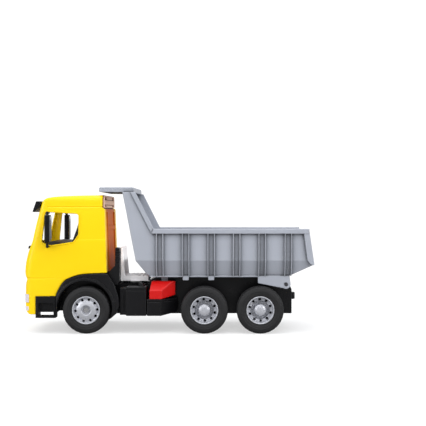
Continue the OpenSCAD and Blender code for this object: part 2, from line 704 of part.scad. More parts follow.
centred() tow_coupling();
centred() frame_screws();
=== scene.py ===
import bpy, bmesh, json, math, time
import numpy as np
from mathutils import Vector, Matrix


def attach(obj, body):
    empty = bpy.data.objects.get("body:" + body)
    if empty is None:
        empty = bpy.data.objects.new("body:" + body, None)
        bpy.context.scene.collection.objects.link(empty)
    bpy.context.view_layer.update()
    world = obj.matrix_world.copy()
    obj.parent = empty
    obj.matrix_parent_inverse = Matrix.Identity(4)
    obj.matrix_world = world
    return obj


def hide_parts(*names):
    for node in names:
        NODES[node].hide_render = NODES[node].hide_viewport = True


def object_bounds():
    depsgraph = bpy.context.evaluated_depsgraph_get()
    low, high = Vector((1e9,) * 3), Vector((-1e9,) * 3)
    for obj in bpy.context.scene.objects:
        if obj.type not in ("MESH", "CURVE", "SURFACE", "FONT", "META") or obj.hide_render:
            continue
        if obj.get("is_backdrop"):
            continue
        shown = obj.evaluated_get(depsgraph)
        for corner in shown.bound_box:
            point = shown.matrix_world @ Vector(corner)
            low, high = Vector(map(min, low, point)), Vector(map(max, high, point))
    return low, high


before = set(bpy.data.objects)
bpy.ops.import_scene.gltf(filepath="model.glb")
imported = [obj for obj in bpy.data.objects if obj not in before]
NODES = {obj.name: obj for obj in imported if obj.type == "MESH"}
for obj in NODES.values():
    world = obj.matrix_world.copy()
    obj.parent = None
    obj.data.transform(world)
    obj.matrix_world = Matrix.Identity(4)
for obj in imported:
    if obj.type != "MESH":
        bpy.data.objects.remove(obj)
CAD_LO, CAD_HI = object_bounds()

T0 = time.time()
MM = 0.001
MIDX = 3.1            # the fields below are drawn in the truck's own frame, 3.1 mm off the row frame along X
COLL = bpy.context.scene.collection


# =====================================================================
# Shape kit: signed distance fields in millimetres, meshed by surface nets
# =====================================================================
def unit(v):
    return v / np.linalg.norm(v)


def fillet(P, n=5):
    """An outline whose points are (x, y[, radius]) with its corners rounded."""
    out = []
    m = len(P)
    for i in range(m):
        p0, p1, p2 = (np.array(P[(i + k) % m][:2], float) for k in (-1, 0, 1))
        r = P[i][2] if len(P[i]) > 2 else 0
        if r <= 0:
            out.append(p1)
            continue
        u, v = unit(p0 - p1), unit(p2 - p1)
        a = math.acos(max(-1, min(1, float(u @ v))))
        if a > math.pi - 0.02:
            out.append(p1)
            continue
        t = r / math.tan(a / 2)
        t_max = 0.49 * min(np.linalg.norm(p0 - p1), np.linalg.norm(p2 - p1))
        if t > t_max:
            t = t_max
            r = t * math.tan(a / 2)
        c = p1 + unit(u + v) * r / math.sin(a / 2)
        s, e = p1 + u * t - c, p1 + v * t - c
        a0, a1 = math.atan2(s[1], s[0]), math.atan2(e[1], e[0])
        d = (a1 - a0 + math.pi) % (2 * math.pi) - math.pi
        for k in range(n + 1):
            w = a0 + d * k / n
            out.append(c + r * np.array([math.cos(w), math.sin(w)]))
    return np.array(out)


def smooth_line(P, step=2.0):
    """A Catmull-Rom curve through open points."""
    P = np.array(P, float)
    Q = np.vstack([2 * P[0] - P[1], P, 2 * P[-1] - P[-2]])
    out = [P[0]]
    for i in range(1, len(Q) - 2):
        p0, p1, p2, p3 = Q[i - 1], Q[i], Q[i + 1], Q[i + 2]
        n = max(1, int(np.linalg.norm(p2 - p1) / step))
        for k in range(1, n + 1):
            t = k / n
            out.append(0.5 * ((2 * p1) + (-p0 + p2) * t + (2 * p0 - 5 * p1 + 4 * p2 - p3) * t * t + (-p0 + 3 * p1 - 3 * p2 + p3) * t ** 3))
    return np.array(out)


def poly_dist(x, y, P):
    """Exact signed distance to a closed outline, negative inside."""
    d = np.full(x.shape, 1e18)
    odd = np.zeros(x.shape, bool)
    n = len(P)
    for i in range(n):
        ax, ay = P[i]
        bx, by = P[(i + 1) % n]
        ex, ey = bx - ax, by - ay
        L = ex * ex + ey * ey
        if L < 1e-12:
            continue
        wx, wy = x - ax, y - ay
        t = np.clip((wx * ex + wy * ey) / L, 0, 1)
        d = np.minimum(d, (wx - ex * t) ** 2 + (wy - ey * t) ** 2)
        cross = ((ay > y) != (by > y))
        if ey != 0:
            odd ^= cross & (x < ex * (y - ay) / ey + ax)
    d = np.sqrt(d)
    return np.where(odd, -d, d)


class Outline:
    """A 2D outline's distance, read from a fine table."""

    def __init__(self, P, cell=0.5, pad=7.0):
        P = np.array([q[:2] for q in P], float)
        self.lo = P.min(0) - pad
        hi = P.max(0) + pad
        self.n = np.ceil((hi - self.lo) / cell).astype(int) + 2
        self.cell = cell
        gx = self.lo[0] + cell * np.arange(self.n[0])
        gy = self.lo[1] + cell * np.arange(self.n[1])
        self.T = poly_dist(gx[:, None] + 0 * gy[None, :], 0 * gx[:, None] + gy[None, :], P)

    def __call__(self, x, y):
        x, y = np.broadcast_arrays(x, y)
        u = (x - self.lo[0]) / self.cell
        v = (y - self.lo[1]) / self.cell
        uc = np.clip(u, 0, self.n[0] - 1.001)
        vc = np.clip(v, 0, self.n[1] - 1.001)
        i, j = uc.astype(np.int32), vc.astype(np.int32)
        a, b = uc - i, vc - j
        T = self.T
        d = (T[i, j] * (1 - a) + T[i + 1, j] * a) * (1 - b) + (T[i, j + 1] * (1 - a) + T[i + 1, j + 1] * a) * b
        return d + np.hypot(u - uc, v - vc) * self.cell


def box(x, y, z, lo, hi, r=0.0):
    qx = np.abs(x - (lo[0] + hi[0]) / 2) - (hi[0] - lo[0]) / 2 + r
    qy = np.abs(y - (lo[1] + hi[1]) / 2) - (hi[1] - lo[1]) / 2 + r
    qz = np.abs(z - (lo[2] + hi[2]) / 2) - (hi[2] - lo[2]) / 2 + r
    return np.sqrt(np.maximum(qx, 0) ** 2 + np.maximum(qy, 0) ** 2 + np.maximum(qz, 0) ** 2) + np.minimum(np.maximum(qx, np.maximum(qy, qz)), 0) - r


def slab(v, a, b):
    return np.abs(v - (a + b) / 2) - (b - a) / 2


def AND(a, b, r=0.0):
    """Both, with outer edges rounded by r."""
    if r <= 0:
        return np.maximum(a, b)
    return np.minimum(-r, np.maximum(a, b)) + np.sqrt(np.maximum(r + a, 0) ** 2 + np.maximum(r + b, 0) ** 2)


def OR(a, b, r=0.0):
    """Either, with the inner corner between them filled by r."""
    if r <= 0:
        return np.minimum(a, b)
    return np.maximum(r, np.minimum(a, b)) - np.sqrt(np.maximum(r - a, 0) ** 2 + np.maximum(r - b, 0) ** 2)


def CUT(a, b, r=0.0):
    return AND(a, -b, r)


def ALL(r, *ds):
    """All of several, with every outer edge rounded by r."""
    m = ds[0]
    for d in ds[1:]:
        m = np.maximum(m, d)
    if r <= 0:
        return m
    q = 0
    for d in ds:
        q = q + np.maximum(r + d, 0) ** 2
    return np.minimum(-r, m) + np.sqrt(q)


def step01(v, a, b):
    t = np.clip((v - a) / (b - a), 0, 1)
    return t * t * (3 - 2 * t)


def rod(u, v, w, cu, cv, rad, w0, w1, r=0.0):
    """A cylinder: u,v across, w along."""
    return AND(np.sqrt((u - cu) ** 2 + (v - cv) ** 2) - rad, slab(w, w0, w1), r)


def capsule(x, y, z, a, b, r):
    a, b = np.array(a, float), np.array(b, float)
    e = b - a
    t = np.clip(((x - a[0]) * e[0] + (y - a[1]) * e[1] + (z - a[2]) * e[2]) / (e @ e), 0, 1)
    return np.sqrt((x - a[0] - e[0] * t) ** 2 + (y - a[1] - e[1] * t) ** 2 + (z - a[2] - e[2] * t) ** 2) - r


def mesh_field(name, f, lo, hi, h, relax=3, flat_deg=0.5, shift=(MIDX, 0, 0), mirror_y=False):
    """Meshes f(x, y, z) < 0 in millimetres between lo and hi with cells of h, snaps it onto the surface, merges flat areas, and sets normals from the field."""


    t0 = time.time()
    shift = np.array(shift, float)
    h = np.broadcast_to(np.array(h, float), (3,)) * 1.0
    lo = np.array(lo, float) - h * 2.03
    hi = np.array(hi, float) + h * 2.03
    n = np.ceil((hi - lo) / h).astype(int) + 1
    if mirror_y:
        n[1] += 1 - n[1] % 2
        lo[1] = -h[1] * (n[1] // 2)
    X, Y, Z = ((lo[k] + h[k] * np.arange(n[k])).astype(np.float32) for k in range(3))
    F = np.empty(n, np.float32)
    ny = n[1] // 2 + 1 if mirror_y else n[1]
    step = max(1, int(600000 / (ny * n[2])))
    for i in range(0, n[0], step):
        F[i:i + step, :ny] = f(X[i:i + step][:, None, None], Y[None, :ny, None], Z[None, None, :])
    if mirror_y:
        F[:, ny:] = F[:, :ny - 1][:, ::-1]
    tg = time.time()
    S = F < 0
    c = np.zeros(n - 1, np.uint8)
    for dx in (0, 1):
        for dy in (0, 1):
            for dz in (0, 1):
                c += S[dx:n[0] - 1 + dx, dy:n[1] - 1 + dy, dz:n[2] - 1 + dz]
    act = (c > 0) & (c < 8)
    ai, aj, ak = np.nonzero(act)
    idx = np.full(n - 1, -1, np.int32)
    idx[act] = np.arange(len(ai), dtype=np.int32)
    val = {}
    for dx in (0, 1):
        for dy in (0, 1):
            for dz in (0, 1):
                val[dx, dy, dz] = F[ai + dx, aj + dy, ak + dz].astype(float)
    acc = np.zeros((len(ai), 3))
    cnt = np.zeros(len(ai))
    for ax in range(3):
        for p in (0, 1):
            for q in (0, 1):
                k0 = [0, 0, 0]
                o = [a for a in range(3) if a != ax]
                k0[o[0]], k0[o[1]] = p, q
                k1 = list(k0); k1[ax] = 1
                a, b = val[tuple(k0)], val[tuple(k1)]
                m = (a < 0) != (b < 0)
                t = np.where(m, a / np.where(m, a - b, 1), 0)
                pos = np.tile(np.array(k0, float), (len(ai), 1))
                pos[:, ax] += t
                acc[m] += pos[m]
                cnt[m] += 1
    P = lo + h * (np.stack([ai, aj, ak], 1) + acc / cnt[:, None])
    quads = []
    for ax in range(3):
        o = [(1, 2), (2, 0), (0, 1)][ax]
        a = [slice(None)] * 3; b = [slice(None)] * 3
        a[ax] = slice(0, -1); b[ax] = slice(1, None)
        s0, s1 = S[tuple(a)], S[tuple(b)]
        e = np.argwhere(s0 != s1)
        flip = s0[tuple(e.T)]
        good = (e[:, o[0]] > 0) & (e[:, o[1]] > 0) & (e[:, o[0]] < n[o[0]] - 1) & (e[:, o[1]] < n[o[1]] - 1)
        e, flip = e[good], flip[good]
        ring = []
        for du, dv in ((-1, -1), (0, -1), (0, 0), (-1, 0)):
            q = e.copy()
            q[:, o[0]] += du
            q[:, o[1]] += dv
            ring.append(idx[tuple(q.T)])
        ring = np.stack(ring, 1)
        ring[~flip] = ring[~flip][:, ::-1]
        quads.append(ring)
    Q = np.vstack(quads)
    E = np.vstack([Q[:, [0, 1]], Q[:, [1, 2]], Q[:, [2, 3]], Q[:, [3, 0]]])
    N = len(P)
    deg = np.bincount(E[:, 0], minlength=N) + np.bincount(E[:, 1], minlength=N)
    deg = np.maximum(deg, 1)

    def ev(p):
        out = np.empty(len(p))
        for i in range(0, len(p), 60000):
            s = p[i:i + 60000]
            out[i:i + 60000] = f(s[:, 0], s[:, 1], s[:, 2])
        return out

    eps = 0.12

    def grad(p):
        g = np.empty_like(p)
        for k in range(3):
            d = np.zeros(3); d[k] = eps
            g[:, k] = (ev(p + d) - ev(p - d)) / (2 * eps)
        return g

    def snap(p):
        g = grad(p)
        g2 = np.maximum((g ** 2).sum(1), 0.05)
        stepv = -(ev(p) / g2)[:, None] * g
        m = np.linalg.norm(stepv, axis=1)
        lim = h.max() * 0.7
        return p + stepv * np.minimum(1, lim / np.maximum(m, 1e-9))[:, None], g

    P, G = snap(P)
    G = G / np.maximum(np.linalg.norm(G, axis=1), 1e-9)[:, None]
    live = np.zeros(N, bool)
    bent = (G[E[:, 0]] * G[E[:, 1]]).sum(1) < 0.9997
    live[E[bent].ravel()] = True
    for _ in range(2):
        grow = live[E[:, 0]] | live[E[:, 1]]
        live[E[grow].ravel()] = True
    sub = np.nonzero(live)[0]
    Es = E[live[E[:, 0]] | live[E[:, 1]]]
    degs = np.maximum(np.bincount(Es[:, 0], minlength=N) + np.bincount(Es[:, 1], minlength=N), 1)
    for _ in range(relax):
        avg = np.empty_like(P)
        for k in range(3):
            avg[:, k] = (np.bincount(Es[:, 0], P[Es[:, 1], k], N) + np.bincount(Es[:, 1], P[Es[:, 0], k], N)) / degs
        q = P[sub] + 0.5 * (avg[sub] - P[sub])
        P[sub] = snap(q)[0]
    P[sub] = snap(P[sub])[0]
    tf = time.time()
    me = bpy.data.meshes.new(name)
    me.vertices.add(N)
    me.vertices.foreach_set("co", ((P + shift) * MM).astype(np.float32).ravel())
    me.loops.add(len(Q) * 4)
    me.loops.foreach_set("vertex_index", Q.ravel().astype(np.int32))
    me.polygons.add(len(Q))
    me.polygons.foreach_set("loop_start", np.arange(len(Q), dtype=np.int32) * 4)
    me.update(calc_edges=True)
    me.validate()
    if flat_deg > 0:
        # flats are merged block by block, which keeps every merged face compact
        np_ = len(me.polygons)
        cen = np.empty(np_ * 3, np.float32)
        me.polygons.foreach_get("center", cen)
        blk = np.floor((cen.reshape(-1, 3) / MM + 1000.37) / 17.0).astype(int).sum(1) % 2
        me.polygons.foreach_set("material_index", blk.astype(np.int32))
        bm = bmesh.new()
        bm.from_mesh(me)
        bmesh.ops.dissolve_limit(bm, angle_limit=math.radians(flat_deg), use_dissolve_boundaries=False, verts=bm.verts, edges=bm.edges, delimit={"MATERIAL"})
        bm.to_mesh(me)
        bm.free()
        me.polygons.foreach_set("material_index", np.zeros(len(me.polygons), np.int32))
    t1 = time.time()
    field_normals(me, grad, float(h.max()), shift)
    print(f"[{name}] {len(Q)} quads -> {len(me.polygons)} faces, {time.time() - t0:.1f} s (grid {tg - t0:.1f}, fit {tf - tg:.1f}, merge {t1 - tf:.1f}), total {time.time() - T0:.0f} s", flush=True)
    return me


def field_normals(me, grad, h, shift):
    nv = len(me.vertices)
    co = np.empty(nv * 3, np.float32)
    me.vertices.foreach_get("co", co)
    g = grad(co.reshape(-1, 3).astype(float) / MM - shift)
    g /= np.maximum(np.linalg.norm(g, axis=1), 1e-9)[:, None]
    npoly = len(me.polygons)
    fn = np.empty(npoly * 3, np.float32); me.polygons.foreach_get("normal", fn); fn = fn.reshape(-1, 3)
    fa = np.empty(npoly, np.float32); me.polygons.foreach_get("area", fa)
    lt = np.empty(npoly, np.int32); me.polygons.foreach_get("loop_total", lt)
    lv = np.empty(len(me.loops), np.int32); me.loops.foreach_get("vertex_index", lv)
    big = np.repeat(fa > 5 * (h * MM) ** 2, lt)
    fnl = np.repeat(fn, lt, axis=0)
    ln = g[lv]
    use = big | ((ln * fnl).sum(1) < 0.2)
    ln = np.where(use[:, None], fnl, ln)
    me.polygons.foreach_set("use_smooth", np.ones(npoly, bool))
    me.normals_split_custom_set(ln.astype(np.float32))
    me.update()


def piece(name, me, mat, body="root", replaces=()):
    ob = bpy.data.objects.new(name, me)
    COLL.objects.link(ob)
    if mat is not None and not me.materials:
        me.materials.append(mat)
    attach(ob, body)
    if replaces:
        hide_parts(*replaces)
    return ob


# =====================================================================
# Materials: all procedural, in the row frame's coordinates
# =====================================================================
def material(name, base, rough=0.4, dev=0.06, spec=0.5, metal=0.0, coat=0.0, grain=0.05, grain_scale=1400.0, tone=0.04, dirt=0.0, edge=0.0, edge_col=None, sss=0.0, crease=0.0, crest=0.0):
    """A moulded plastic or metal: uneven roughness, a fine surface grain, a slight drift of tone, painted shade in
    inner corners, a painted highlight on thin crests, and a painted highlight on convex edges.
    """
    m = bpy.data.materials.new(name)
    m.use_nodes = True
    nt = m.node_tree
    N, L = nt.nodes, nt.links
    bs = N["Principled BSDF"]
    tc = N.new("ShaderNodeTexCoord")
    n1 = N.new("ShaderNodeTexNoise")
    n1.inputs["Scale"].default_value = 16.0
    n1.inputs["Detail"].default_value = 5.0
    n1.inputs["Roughness"].default_value = 0.6
    L.new(tc.outputs["Object"], n1.inputs["Vector"])
    n2 = N.new("ShaderNodeTexNoise")
    n2.inputs["Scale"].default_value = 150.0
    n2.inputs["Detail"].default_value = 3.0
    L.new(tc.outputs["Object"], n2.inputs["Vector"])
    # roughness
    rr = N.new("ShaderNodeMapRange")
    rr.inputs["From Min"].default_value = 0.3
    rr.inputs["From Max"].default_value = 0.7
    rr.inputs["To Min"].default_value = rough - dev
    rr.inputs["To Max"].default_value = rough + dev
    mx = N.new("ShaderNodeMath")
    mx.operation = "ADD"
    ml = N.new("ShaderNodeMath")
    ml.operation = "MULTIPLY"
    ml.inputs[1].default_value = 0.35
    L.new(n2.outputs[0], ml.inputs[0])
    mm = N.new("ShaderNodeMath")
    mm.operation = "MULTIPLY"
    mm.inputs[1].default_value = 0.65
    L.new(n1.outputs[0], mm.inputs[0])
    L.new(mm.outputs[0], mx.inputs[0])
    L.new(ml.outputs[0], mx.inputs[1])
    L.new(mx.outputs[0], rr.inputs["Value"])
    L.new(rr.outputs[0], bs.inputs["Roughness"])
    # colour
    hs = N.new("ShaderNodeMapRange")
    hs.inputs["From Min"].default_value = 0.3
    hs.inputs["From Max"].default_value = 0.7
    hs.inputs["To Min"].default_value = 1.0 - tone
    hs.inputs["To Max"].default_value = 1.0 + tone * 0.5
    L.new(n1.outputs[0], hs.inputs["Value"])
    vm = N.new("ShaderNodeVectorMath")
    vm.operation = "SCALE"
    vm.inputs[0].default_value = base
    scale = hs.outputs[0]
    # painted shade in inner corners and a painted highlight on thin crests, both taken from ambient occlusion
    for amount, inside, reach, a, b, lo, hi in ((crease, False, 0.016, 0.52, 0.98, 1.0 - crease, 1.0), (crest, True, 0.0016, 0.3, 0.8, 1.0 + crest, 1.0)):
        if amount > 0:
            ao = N.new("ShaderNodeAmbientOcclusion")
            ao.samples = 8
            ao.inside = inside
            ao.only_local = True
            ao.inputs["Distance"].default_value = reach
            ar = N.new("ShaderNodeMapRange")
            ar.inputs["From Min"].default_value = a
            ar.inputs["From Max"].default_value = b
            ar.inputs["To Min"].default_value = lo
            ar.inputs["To Max"].default_value = hi
            L.new(ao.outputs["AO"], ar.inputs["Value"])
            am = N.new("ShaderNodeMath")
            am.operation = "MULTIPLY"
            L.new(scale, am.inputs[0])
            L.new(ar.outputs[0], am.inputs[1])
            scale = am.outputs[0]
    L.new(scale, vm.inputs["Scale"])
    col = vm.outputs[0]
    # painted highlight: convex edges, picked out by pointiness, are mixed towards a lighter colour
    if edge > 0:
        geo = N.new("ShaderNodeNewGeometry")
        er = N.new("ShaderNodeMapRange")
        er.inputs["From Min"].default_value = 0.53
        er.inputs["From Max"].default_value = 0.62
        er.inputs["To Max"].default_value = edge
        L.new(geo.outputs["Pointiness"], er.inputs["Value"])
        em = N.new("ShaderNodeMix")
        em.data_type = "RGBA"
        L.new(er.outputs[0], em.inputs["Factor"])
        L.new(col, em.inputs["A"])
        em.inputs["B"].default_value = (*(edge_col or tuple(min(1, c * 1.5 + 0.03) for c in base)), 1)
        col = em.outputs["Result"]
    L.new(col, bs.inputs["Base Color"])
    bs.inputs["Metallic"].default_value = metal
    bs.inputs["Specular IOR Level"].default_value = spec
    bs.inputs["Coat Weight"].default_value = coat
    bs.inputs["Coat Roughness"].default_value = 0.12
    if sss > 0:
        bs.inputs["Subsurface Weight"].default_value = sss
        bs.inputs["Subsurface Scale"].default_value = 0.004
    # grain
    if grain > 0:
        n3 = N.new("ShaderNodeTexNoise")
        n3.inputs["Scale"].default_value = grain_scale
        n3.inputs["Detail"].default_value = 2.0
        L.new(tc.outputs["Object"], n3.inputs["Vector"])
        bp = N.new("ShaderNodeBump")
        bp.inputs["Strength"].default_value = grain
        bp.inputs["Distance"].default_value = 0.0004
        L.new(n3.outputs[0], bp.inputs["Height"])
        L.new(bp.outputs[0], bs.inputs["Normal"])
    return m


M_YELLOW = material("yellow_plastic", (0.96, 0.65, 0.001), rough=0.33, dev=0.05, spec=0.28, grain=0.04, tone=0.02)
# the grey plastic gets painted shade in its hollows and rib channels (crease) and a painted highlight on its fin crests
# (crest)
M_GREY = material("grey_plastic", (0.375, 0.396, 0.448), rough=0.36, dev=0.06, spec=0.4, grain=0.05, tone=0.03, crease=0.8, crest=0.38)
# edge and edge_col paint a lighter highlight onto the black plastic's convex edges
M_BLACK = material("black_plastic", (0.005, 0.005, 0.006), rough=0.3, dev=0.06, spec=0.28, grain=0.08, tone=0.12, edge=0.25, edge_col=(0.04, 0.04, 0.045))
M_SATIN = material("black_satin", (0.006, 0.006, 0.007), rough=0.3, dev=0.06, spec=0.22, grain=0.05, tone=0.1)
M_SEAT = material("seat_plastic", (0.016, 0.016, 0.017), rough=0.55, dev=0.08, grain=0.35, grain_scale=900.0, tone=0.15)
# edge and edge_col paint a lighter highlight onto the tyre's convex edges
M_TYRE = material("tyre", (0.019, 0.019, 0.020), rough=0.6, dev=0.08, grain=0.2, grain_scale=1100.0, tone=0.15, spec=0.22, edge=0.5, edge_col=(0.055, 0.055, 0.055))
M_RIM = material("rim_silver", (0.50, 0.51, 0.55), rough=0.34, dev=0.06, metal=0.35, grain=0.08, grain_scale=1800.0, tone=0.05)
M_RED = material("red_plastic", (0.58, 0.007, 0.006), rough=0.3, dev=0.05, spec=0.3, grain=0.05, tone=0.04)
M_PALE = material("pale_plastic", (0.86, 0.60, 0.46), rough=0.45, dev=0.06, spec=0.15, grain=0.05)
M_PALEGREY = material("pale_grey_plastic", (0.86, 0.86, 0.87), rough=0.4, dev=0.06, spec=0.3, grain=0.06)
M_STEEL = material("steel", (0.55, 0.55, 0.57), rough=0.3, dev=0.08, metal=1.0, grain=0.08, grain_scale=2500.0)
M_DARK = material("dark_plastic", (0.035, 0.035, 0.04), rough=0.4, dev=0.06)
M_FOIL = material("mirror_foil", (0.75, 0.77, 0.8), rough=0.10, dev=0.03, metal=1.0, grain=0.0)
M_LENS = material("lens_plastic", (0.72, 0.66, 0.72), rough=0.12, dev=0.03, grain=0.0, coat=0.6, spec=0.6)


def amber():
    """Amber rear wall: deep brown in the sunk middle, with a painted highlight of lighter orange near its upright
    edges, where light reaches past the dump body.
    """
    m = material("amber_plastic", (0.52, 0.115, 0.010), rough=0.42, dev=0.06, spec=0.06, grain=0.03)
    nt = m.node_tree
    N, L = nt.nodes, nt.links
    bs = N["Principled BSDF"]
    old = bs.inputs["Base Color"].links[0].from_socket
    tc = N.new("ShaderNodeTexCoord")
    sp = N.new("ShaderNodeSeparateXYZ")
    L.new(tc.outputs["Object"], sp.inputs[0])
    ab = N.new("ShaderNodeMath")
    ab.operation = "ABSOLUTE"
    L.new(sp.outputs["Y"], ab.inputs[0])
    # painted highlight: lighter orange where |y| passes 60 to 100 mm
    mr = N.new("ShaderNodeMapRange")
    mr.interpolation_type = "SMOOTHSTEP"
    mr.inputs["From Min"].default_value = 0.060
    mr.inputs["From Max"].default_value = 0.100
    L.new(ab.outputs[0], mr.inputs["Value"])
    mi = N.new("ShaderNodeMix")
    mi.data_type = "RGBA"
    L.new(mr.outputs[0], mi.inputs["Factor"])
    L.new(old, mi.inputs["A"])
    mi.inputs["B"].default_value = (0.95, 0.62, 0.08, 1)
    L.new(mi.outputs["Result"], bs.inputs["Base Color"])
    return m


M_AMBER = amber()


def paint_slot_shade(m, x0, col):
    """Paints shade into a panel below the plane X = x0, which is where the floors of its slots lie."""
    nt = m.node_tree
    N, L = nt.nodes, nt.links
    bs = N["Principled BSDF"]
    old = bs.inputs["Base Color"].links[0].from_socket
    tc = N.new("ShaderNodeTexCoord")
    sp = N.new("ShaderNodeSeparateXYZ")
    L.new(tc.outputs["Object"], sp.inputs[0])
    mr = N.new("ShaderNodeMapRange")
    mr.inputs["From Min"].default_value = x0 - 0.0002
    mr.inputs["From Max"].default_value = x0 + 0.0002
    L.new(sp.outputs["X"], mr.inputs["Value"])
    mi = N.new("ShaderNodeMix")
    mi.data_type = "RGBA"
    L.new(mr.outputs[0], mi.inputs["Factor"])
    mi.inputs["A"].default_value = (*col, 1)
    L.new(old, mi.inputs["B"])
    L.new(mi.outputs["Result"], bs.inputs["Base Color"])


# painted shade in the slot floors of the pale rear vent panel
paint_slot_shade(M_PALE, -0.1427, (0.20, 0.07, 0.035))


# =====================================================================
# Wheels: drawn once with the outer face towards +Z, then turned into place
# =====================================================================
WR = 51.0
AXLES = {"front": -181.4, "middle": 72.7, "rear": 193.3}
TRACK = 94.0


def tyre_field():
    prof = Outline([(28.6, -16.5), (31, -17.5), (36, -18.6), (41, -19), (46, -18), (49.2, -15.8), (50.6, -12.4), (51, -9.5),
                    (51, 9.5), (50.6, 12.4), (49.2, 15.8), (46, 18), (41, 19), (36, 18.4), (32.4, 17.2), (30.2, 16.6), (30.2, 15.9), (28.6, 15.9)], cell=0.25)
    grooves = Outline([(60, -6.9), (49.3, -6.6), (48.9, -6.2), (48.9, -5.2), (49.3, -4.8), (60, -4.5)], cell=0.25, pad=14)

    def f(x, y, z):
        r = np.sqrt(x * x + y * y)
        th = np.arctan2(y, x)
        d = prof(r, z)
        # rings on both side walls
        az = np.abs(z)


        ring = np.minimum(np.hypot(r - 38.4, az - 19.25), np.hypot(r - 33.8, az - 18.5)) - 0.85
        ring = np.minimum(ring, np.hypot(r - 45.4, az - 18.75) - 1.0)
        d = CUT(d, ring, 0.35)
        # two round grooves
        g = grooves(r, -az)
        d = CUT(d, g, 0.35)
        # cross grooves of the outer blocks, slanted, and short sipes in the middle rib
        n_out = 30
        p = 2 * math.pi / n_out
        t = th + np.sign(z) * 0.018 + (az - 6) * 0.0032
        a = (np.mod(t + p / 2, p) - p / 2) * r
        lug = np.maximum(np.abs(a) - 0.95, np.maximum(49.4 - r, np.maximum(8.3 - az, az - 17.4)))
        d = CUT(d, lug, 0.4)
        a2 = (np.mod(th + (z * 0.012) + p / 4, p) - p / 2) * r
        sip = np.maximum(np.abs(a2) - 0.5, np.maximum(50.0 - r, az - 3.4))
        d = CUT(d, sip, 0.25)
        # shallow shoulder notches that fade down the side wall
        sh = np.maximum(np.abs(a) - 0.8, np.maximum(46.9 - r, -(r - 46.9) + 0 * az))
        d = CUT(d, np.maximum(sh, np.abs(az - 18.9) - 1.35), 0.35)
        return d
    return f


def rim_field(front):
    if front:
        P = [(3.1, -20), (8, -20), (8, 6), (26, 9), (26, -16), (28.5, -16), (28.5, 16), (30, 16), (30, 17.6), (29.2, 18.4), (28.2, 18.2),
             (27.3, 16.8), (26.3, 12.6), (25, 11.9), (22, 13.8), (17, 15.8), (12.5, 16.9), (10.8, 16.8), (9.9, 16.1), (9.5, 10), (3.1, 10)]
    else:
        P = [(3.1, -20), (8, -20), (8, -6), (20.6, -6), (22, 1), (26, 1), (26, -16), (28.5, -16), (28.5, 16), (30, 16), (30, 17.6), (29.2, 18.4), (28.2, 18.2),
             (27.2, 16.8), (26.4, 8), (25.2, 6.4), (20.6, 5.6), (19.9, 4.7), (19.4, -3), (13.2, -3), (12.9, 4.7), (10.4, 4.7), (10.4, 10), (3.1, 10)]
    prof = Outline(fillet([(q[0], q[1], 0.45) for q in P], 3), cell=0.15, pad=5)

    def f(x, y, z):
        r = np.sqrt(x * x + y * y)
        d = prof(r, z)
        th = np.arctan2(y, x)
        p = 2 * math.pi / 10
        a0 = math.radians(4 if front else 21)
        a = np.mod(th - a0 + p / 2, p) - p / 2
        u, v = r * np.cos(a), r * np.sin(a)
        hole = np.maximum(np.hypot(u - 23.3, v) - 2.9, -(z + 8) if not front else -(z - 5.5))
        # raised ring round each hole
        if front:
            d = OR(d, np.maximum(np.hypot(u - 23.3, v) - 3.5, np.abs(z - 11.6) - 1.5), 0.5)
        else:
            d = OR(d, np.maximum(np.hypot(u - 23.3, v) - 3.5, np.abs(z - 5.2) - 1.3), 0.5)
            # wheel nuts in the trench round the hub
            b = np.mod(th - math.radians(3) + p / 2, p) - p / 2
            nut = ALL(0.4, np.hypot(r * np.cos(b) - 16.3, r * np.sin(b)) - 1.5, slab(z, -4, 2))
            d = OR(d, nut, 0.4)
        d = CUT(d, hole, 0.35)
        d = CUT(d, r - 3.1, 0.2)
        return d
    return f


def cap_field(x, y, z):
    r = np.sqrt(x * x + y * y)
    d = CAP(r, z)
    d = CUT(d, np.hypot(r - 8.9, z - 16.1) - 0.5, 0.3)
    return d


CAP = Outline(fillet([(10.5, 4.9), (12.5, 4.9), (12.5, 12.6, 1.5), (12.1, 13.6), (10.6, 14.9, 1), (8, 16), (5, 16.7), (-2, 17), (-2, 15.2), (5, 14.9), (8.5, 13.6), (10.5, 12)], 4), cell=0.15, pad=4)


def turn(me, name, axle, side):
    """A copy of a wheel mesh in its place, with its outer face away from the truck."""
    c = me.copy()
    c.name = name
    Rm = Matrix.Rotation(math.radians(-90 * side), 4, "X")
    T = Matrix.Translation(((AXLES[axle] + MIDX) * MM, side * TRACK * MM, WR * MM))
    n = len(c.loops)
    nn = np.empty(n * 3, np.float32)
    c.corner_normals.foreach_get("vector", nn)
    c.transform(T @ Rm)
    R3 = np.array(Rm.to_3x3(), np.float32)
    nn = nn.reshape(-1, 3) @ R3.T
    c.normals_split_custom_set(nn)
    c.update()
    return c


def wheels():
    ty = mesh_field("tyre", tyre_field(), (-51, -51, -19.2), (51, 51, 19.2), 0.8, relax=2, shift=(0, 0, 0))
    rf = mesh_field("rim_front", rim_field(True), (-30, -30, -20), (30, 30, 18.5), 0.6, relax=2, shift=(0, 0, 0))
    rr = mesh_field("rim_rear", rim_field(False), (-30, -30, -20), (30, 30, 18.5), 0.6, relax=2, shift=(0, 0, 0))
    hc = mesh_field("hub_cap", cap_field, (-12.5, -12.5, 4.9), (12.5, 12.5, 17), 0.45, relax=2, shift=(0, 0, 0))
    for a in AXLES:
        for s, sn in ((-1, "left"), (1, "right")):
            body = f"wheel_{a}_{sn}"
            piece(f"tyre_{a}_{sn}", turn(ty, f"tyre_{a}_{sn}", a, s), M_TYRE, body, (f"tyre_{a}_{sn}",))
            piece(f"rim_{a}_{sn}", turn(rf if a == "front" else rr, f"rim_{a}_{sn}", a, s), M_RIM, body, (f"rim_{a}_{sn}",))
            if a != "front":
                piece(f"hub_cap_{a}_{sn}", turn(hc, f"hub_cap_{a}_{sn}", a, s), M_RIM, body, (f"hub_cap_{a}_{sn}",))


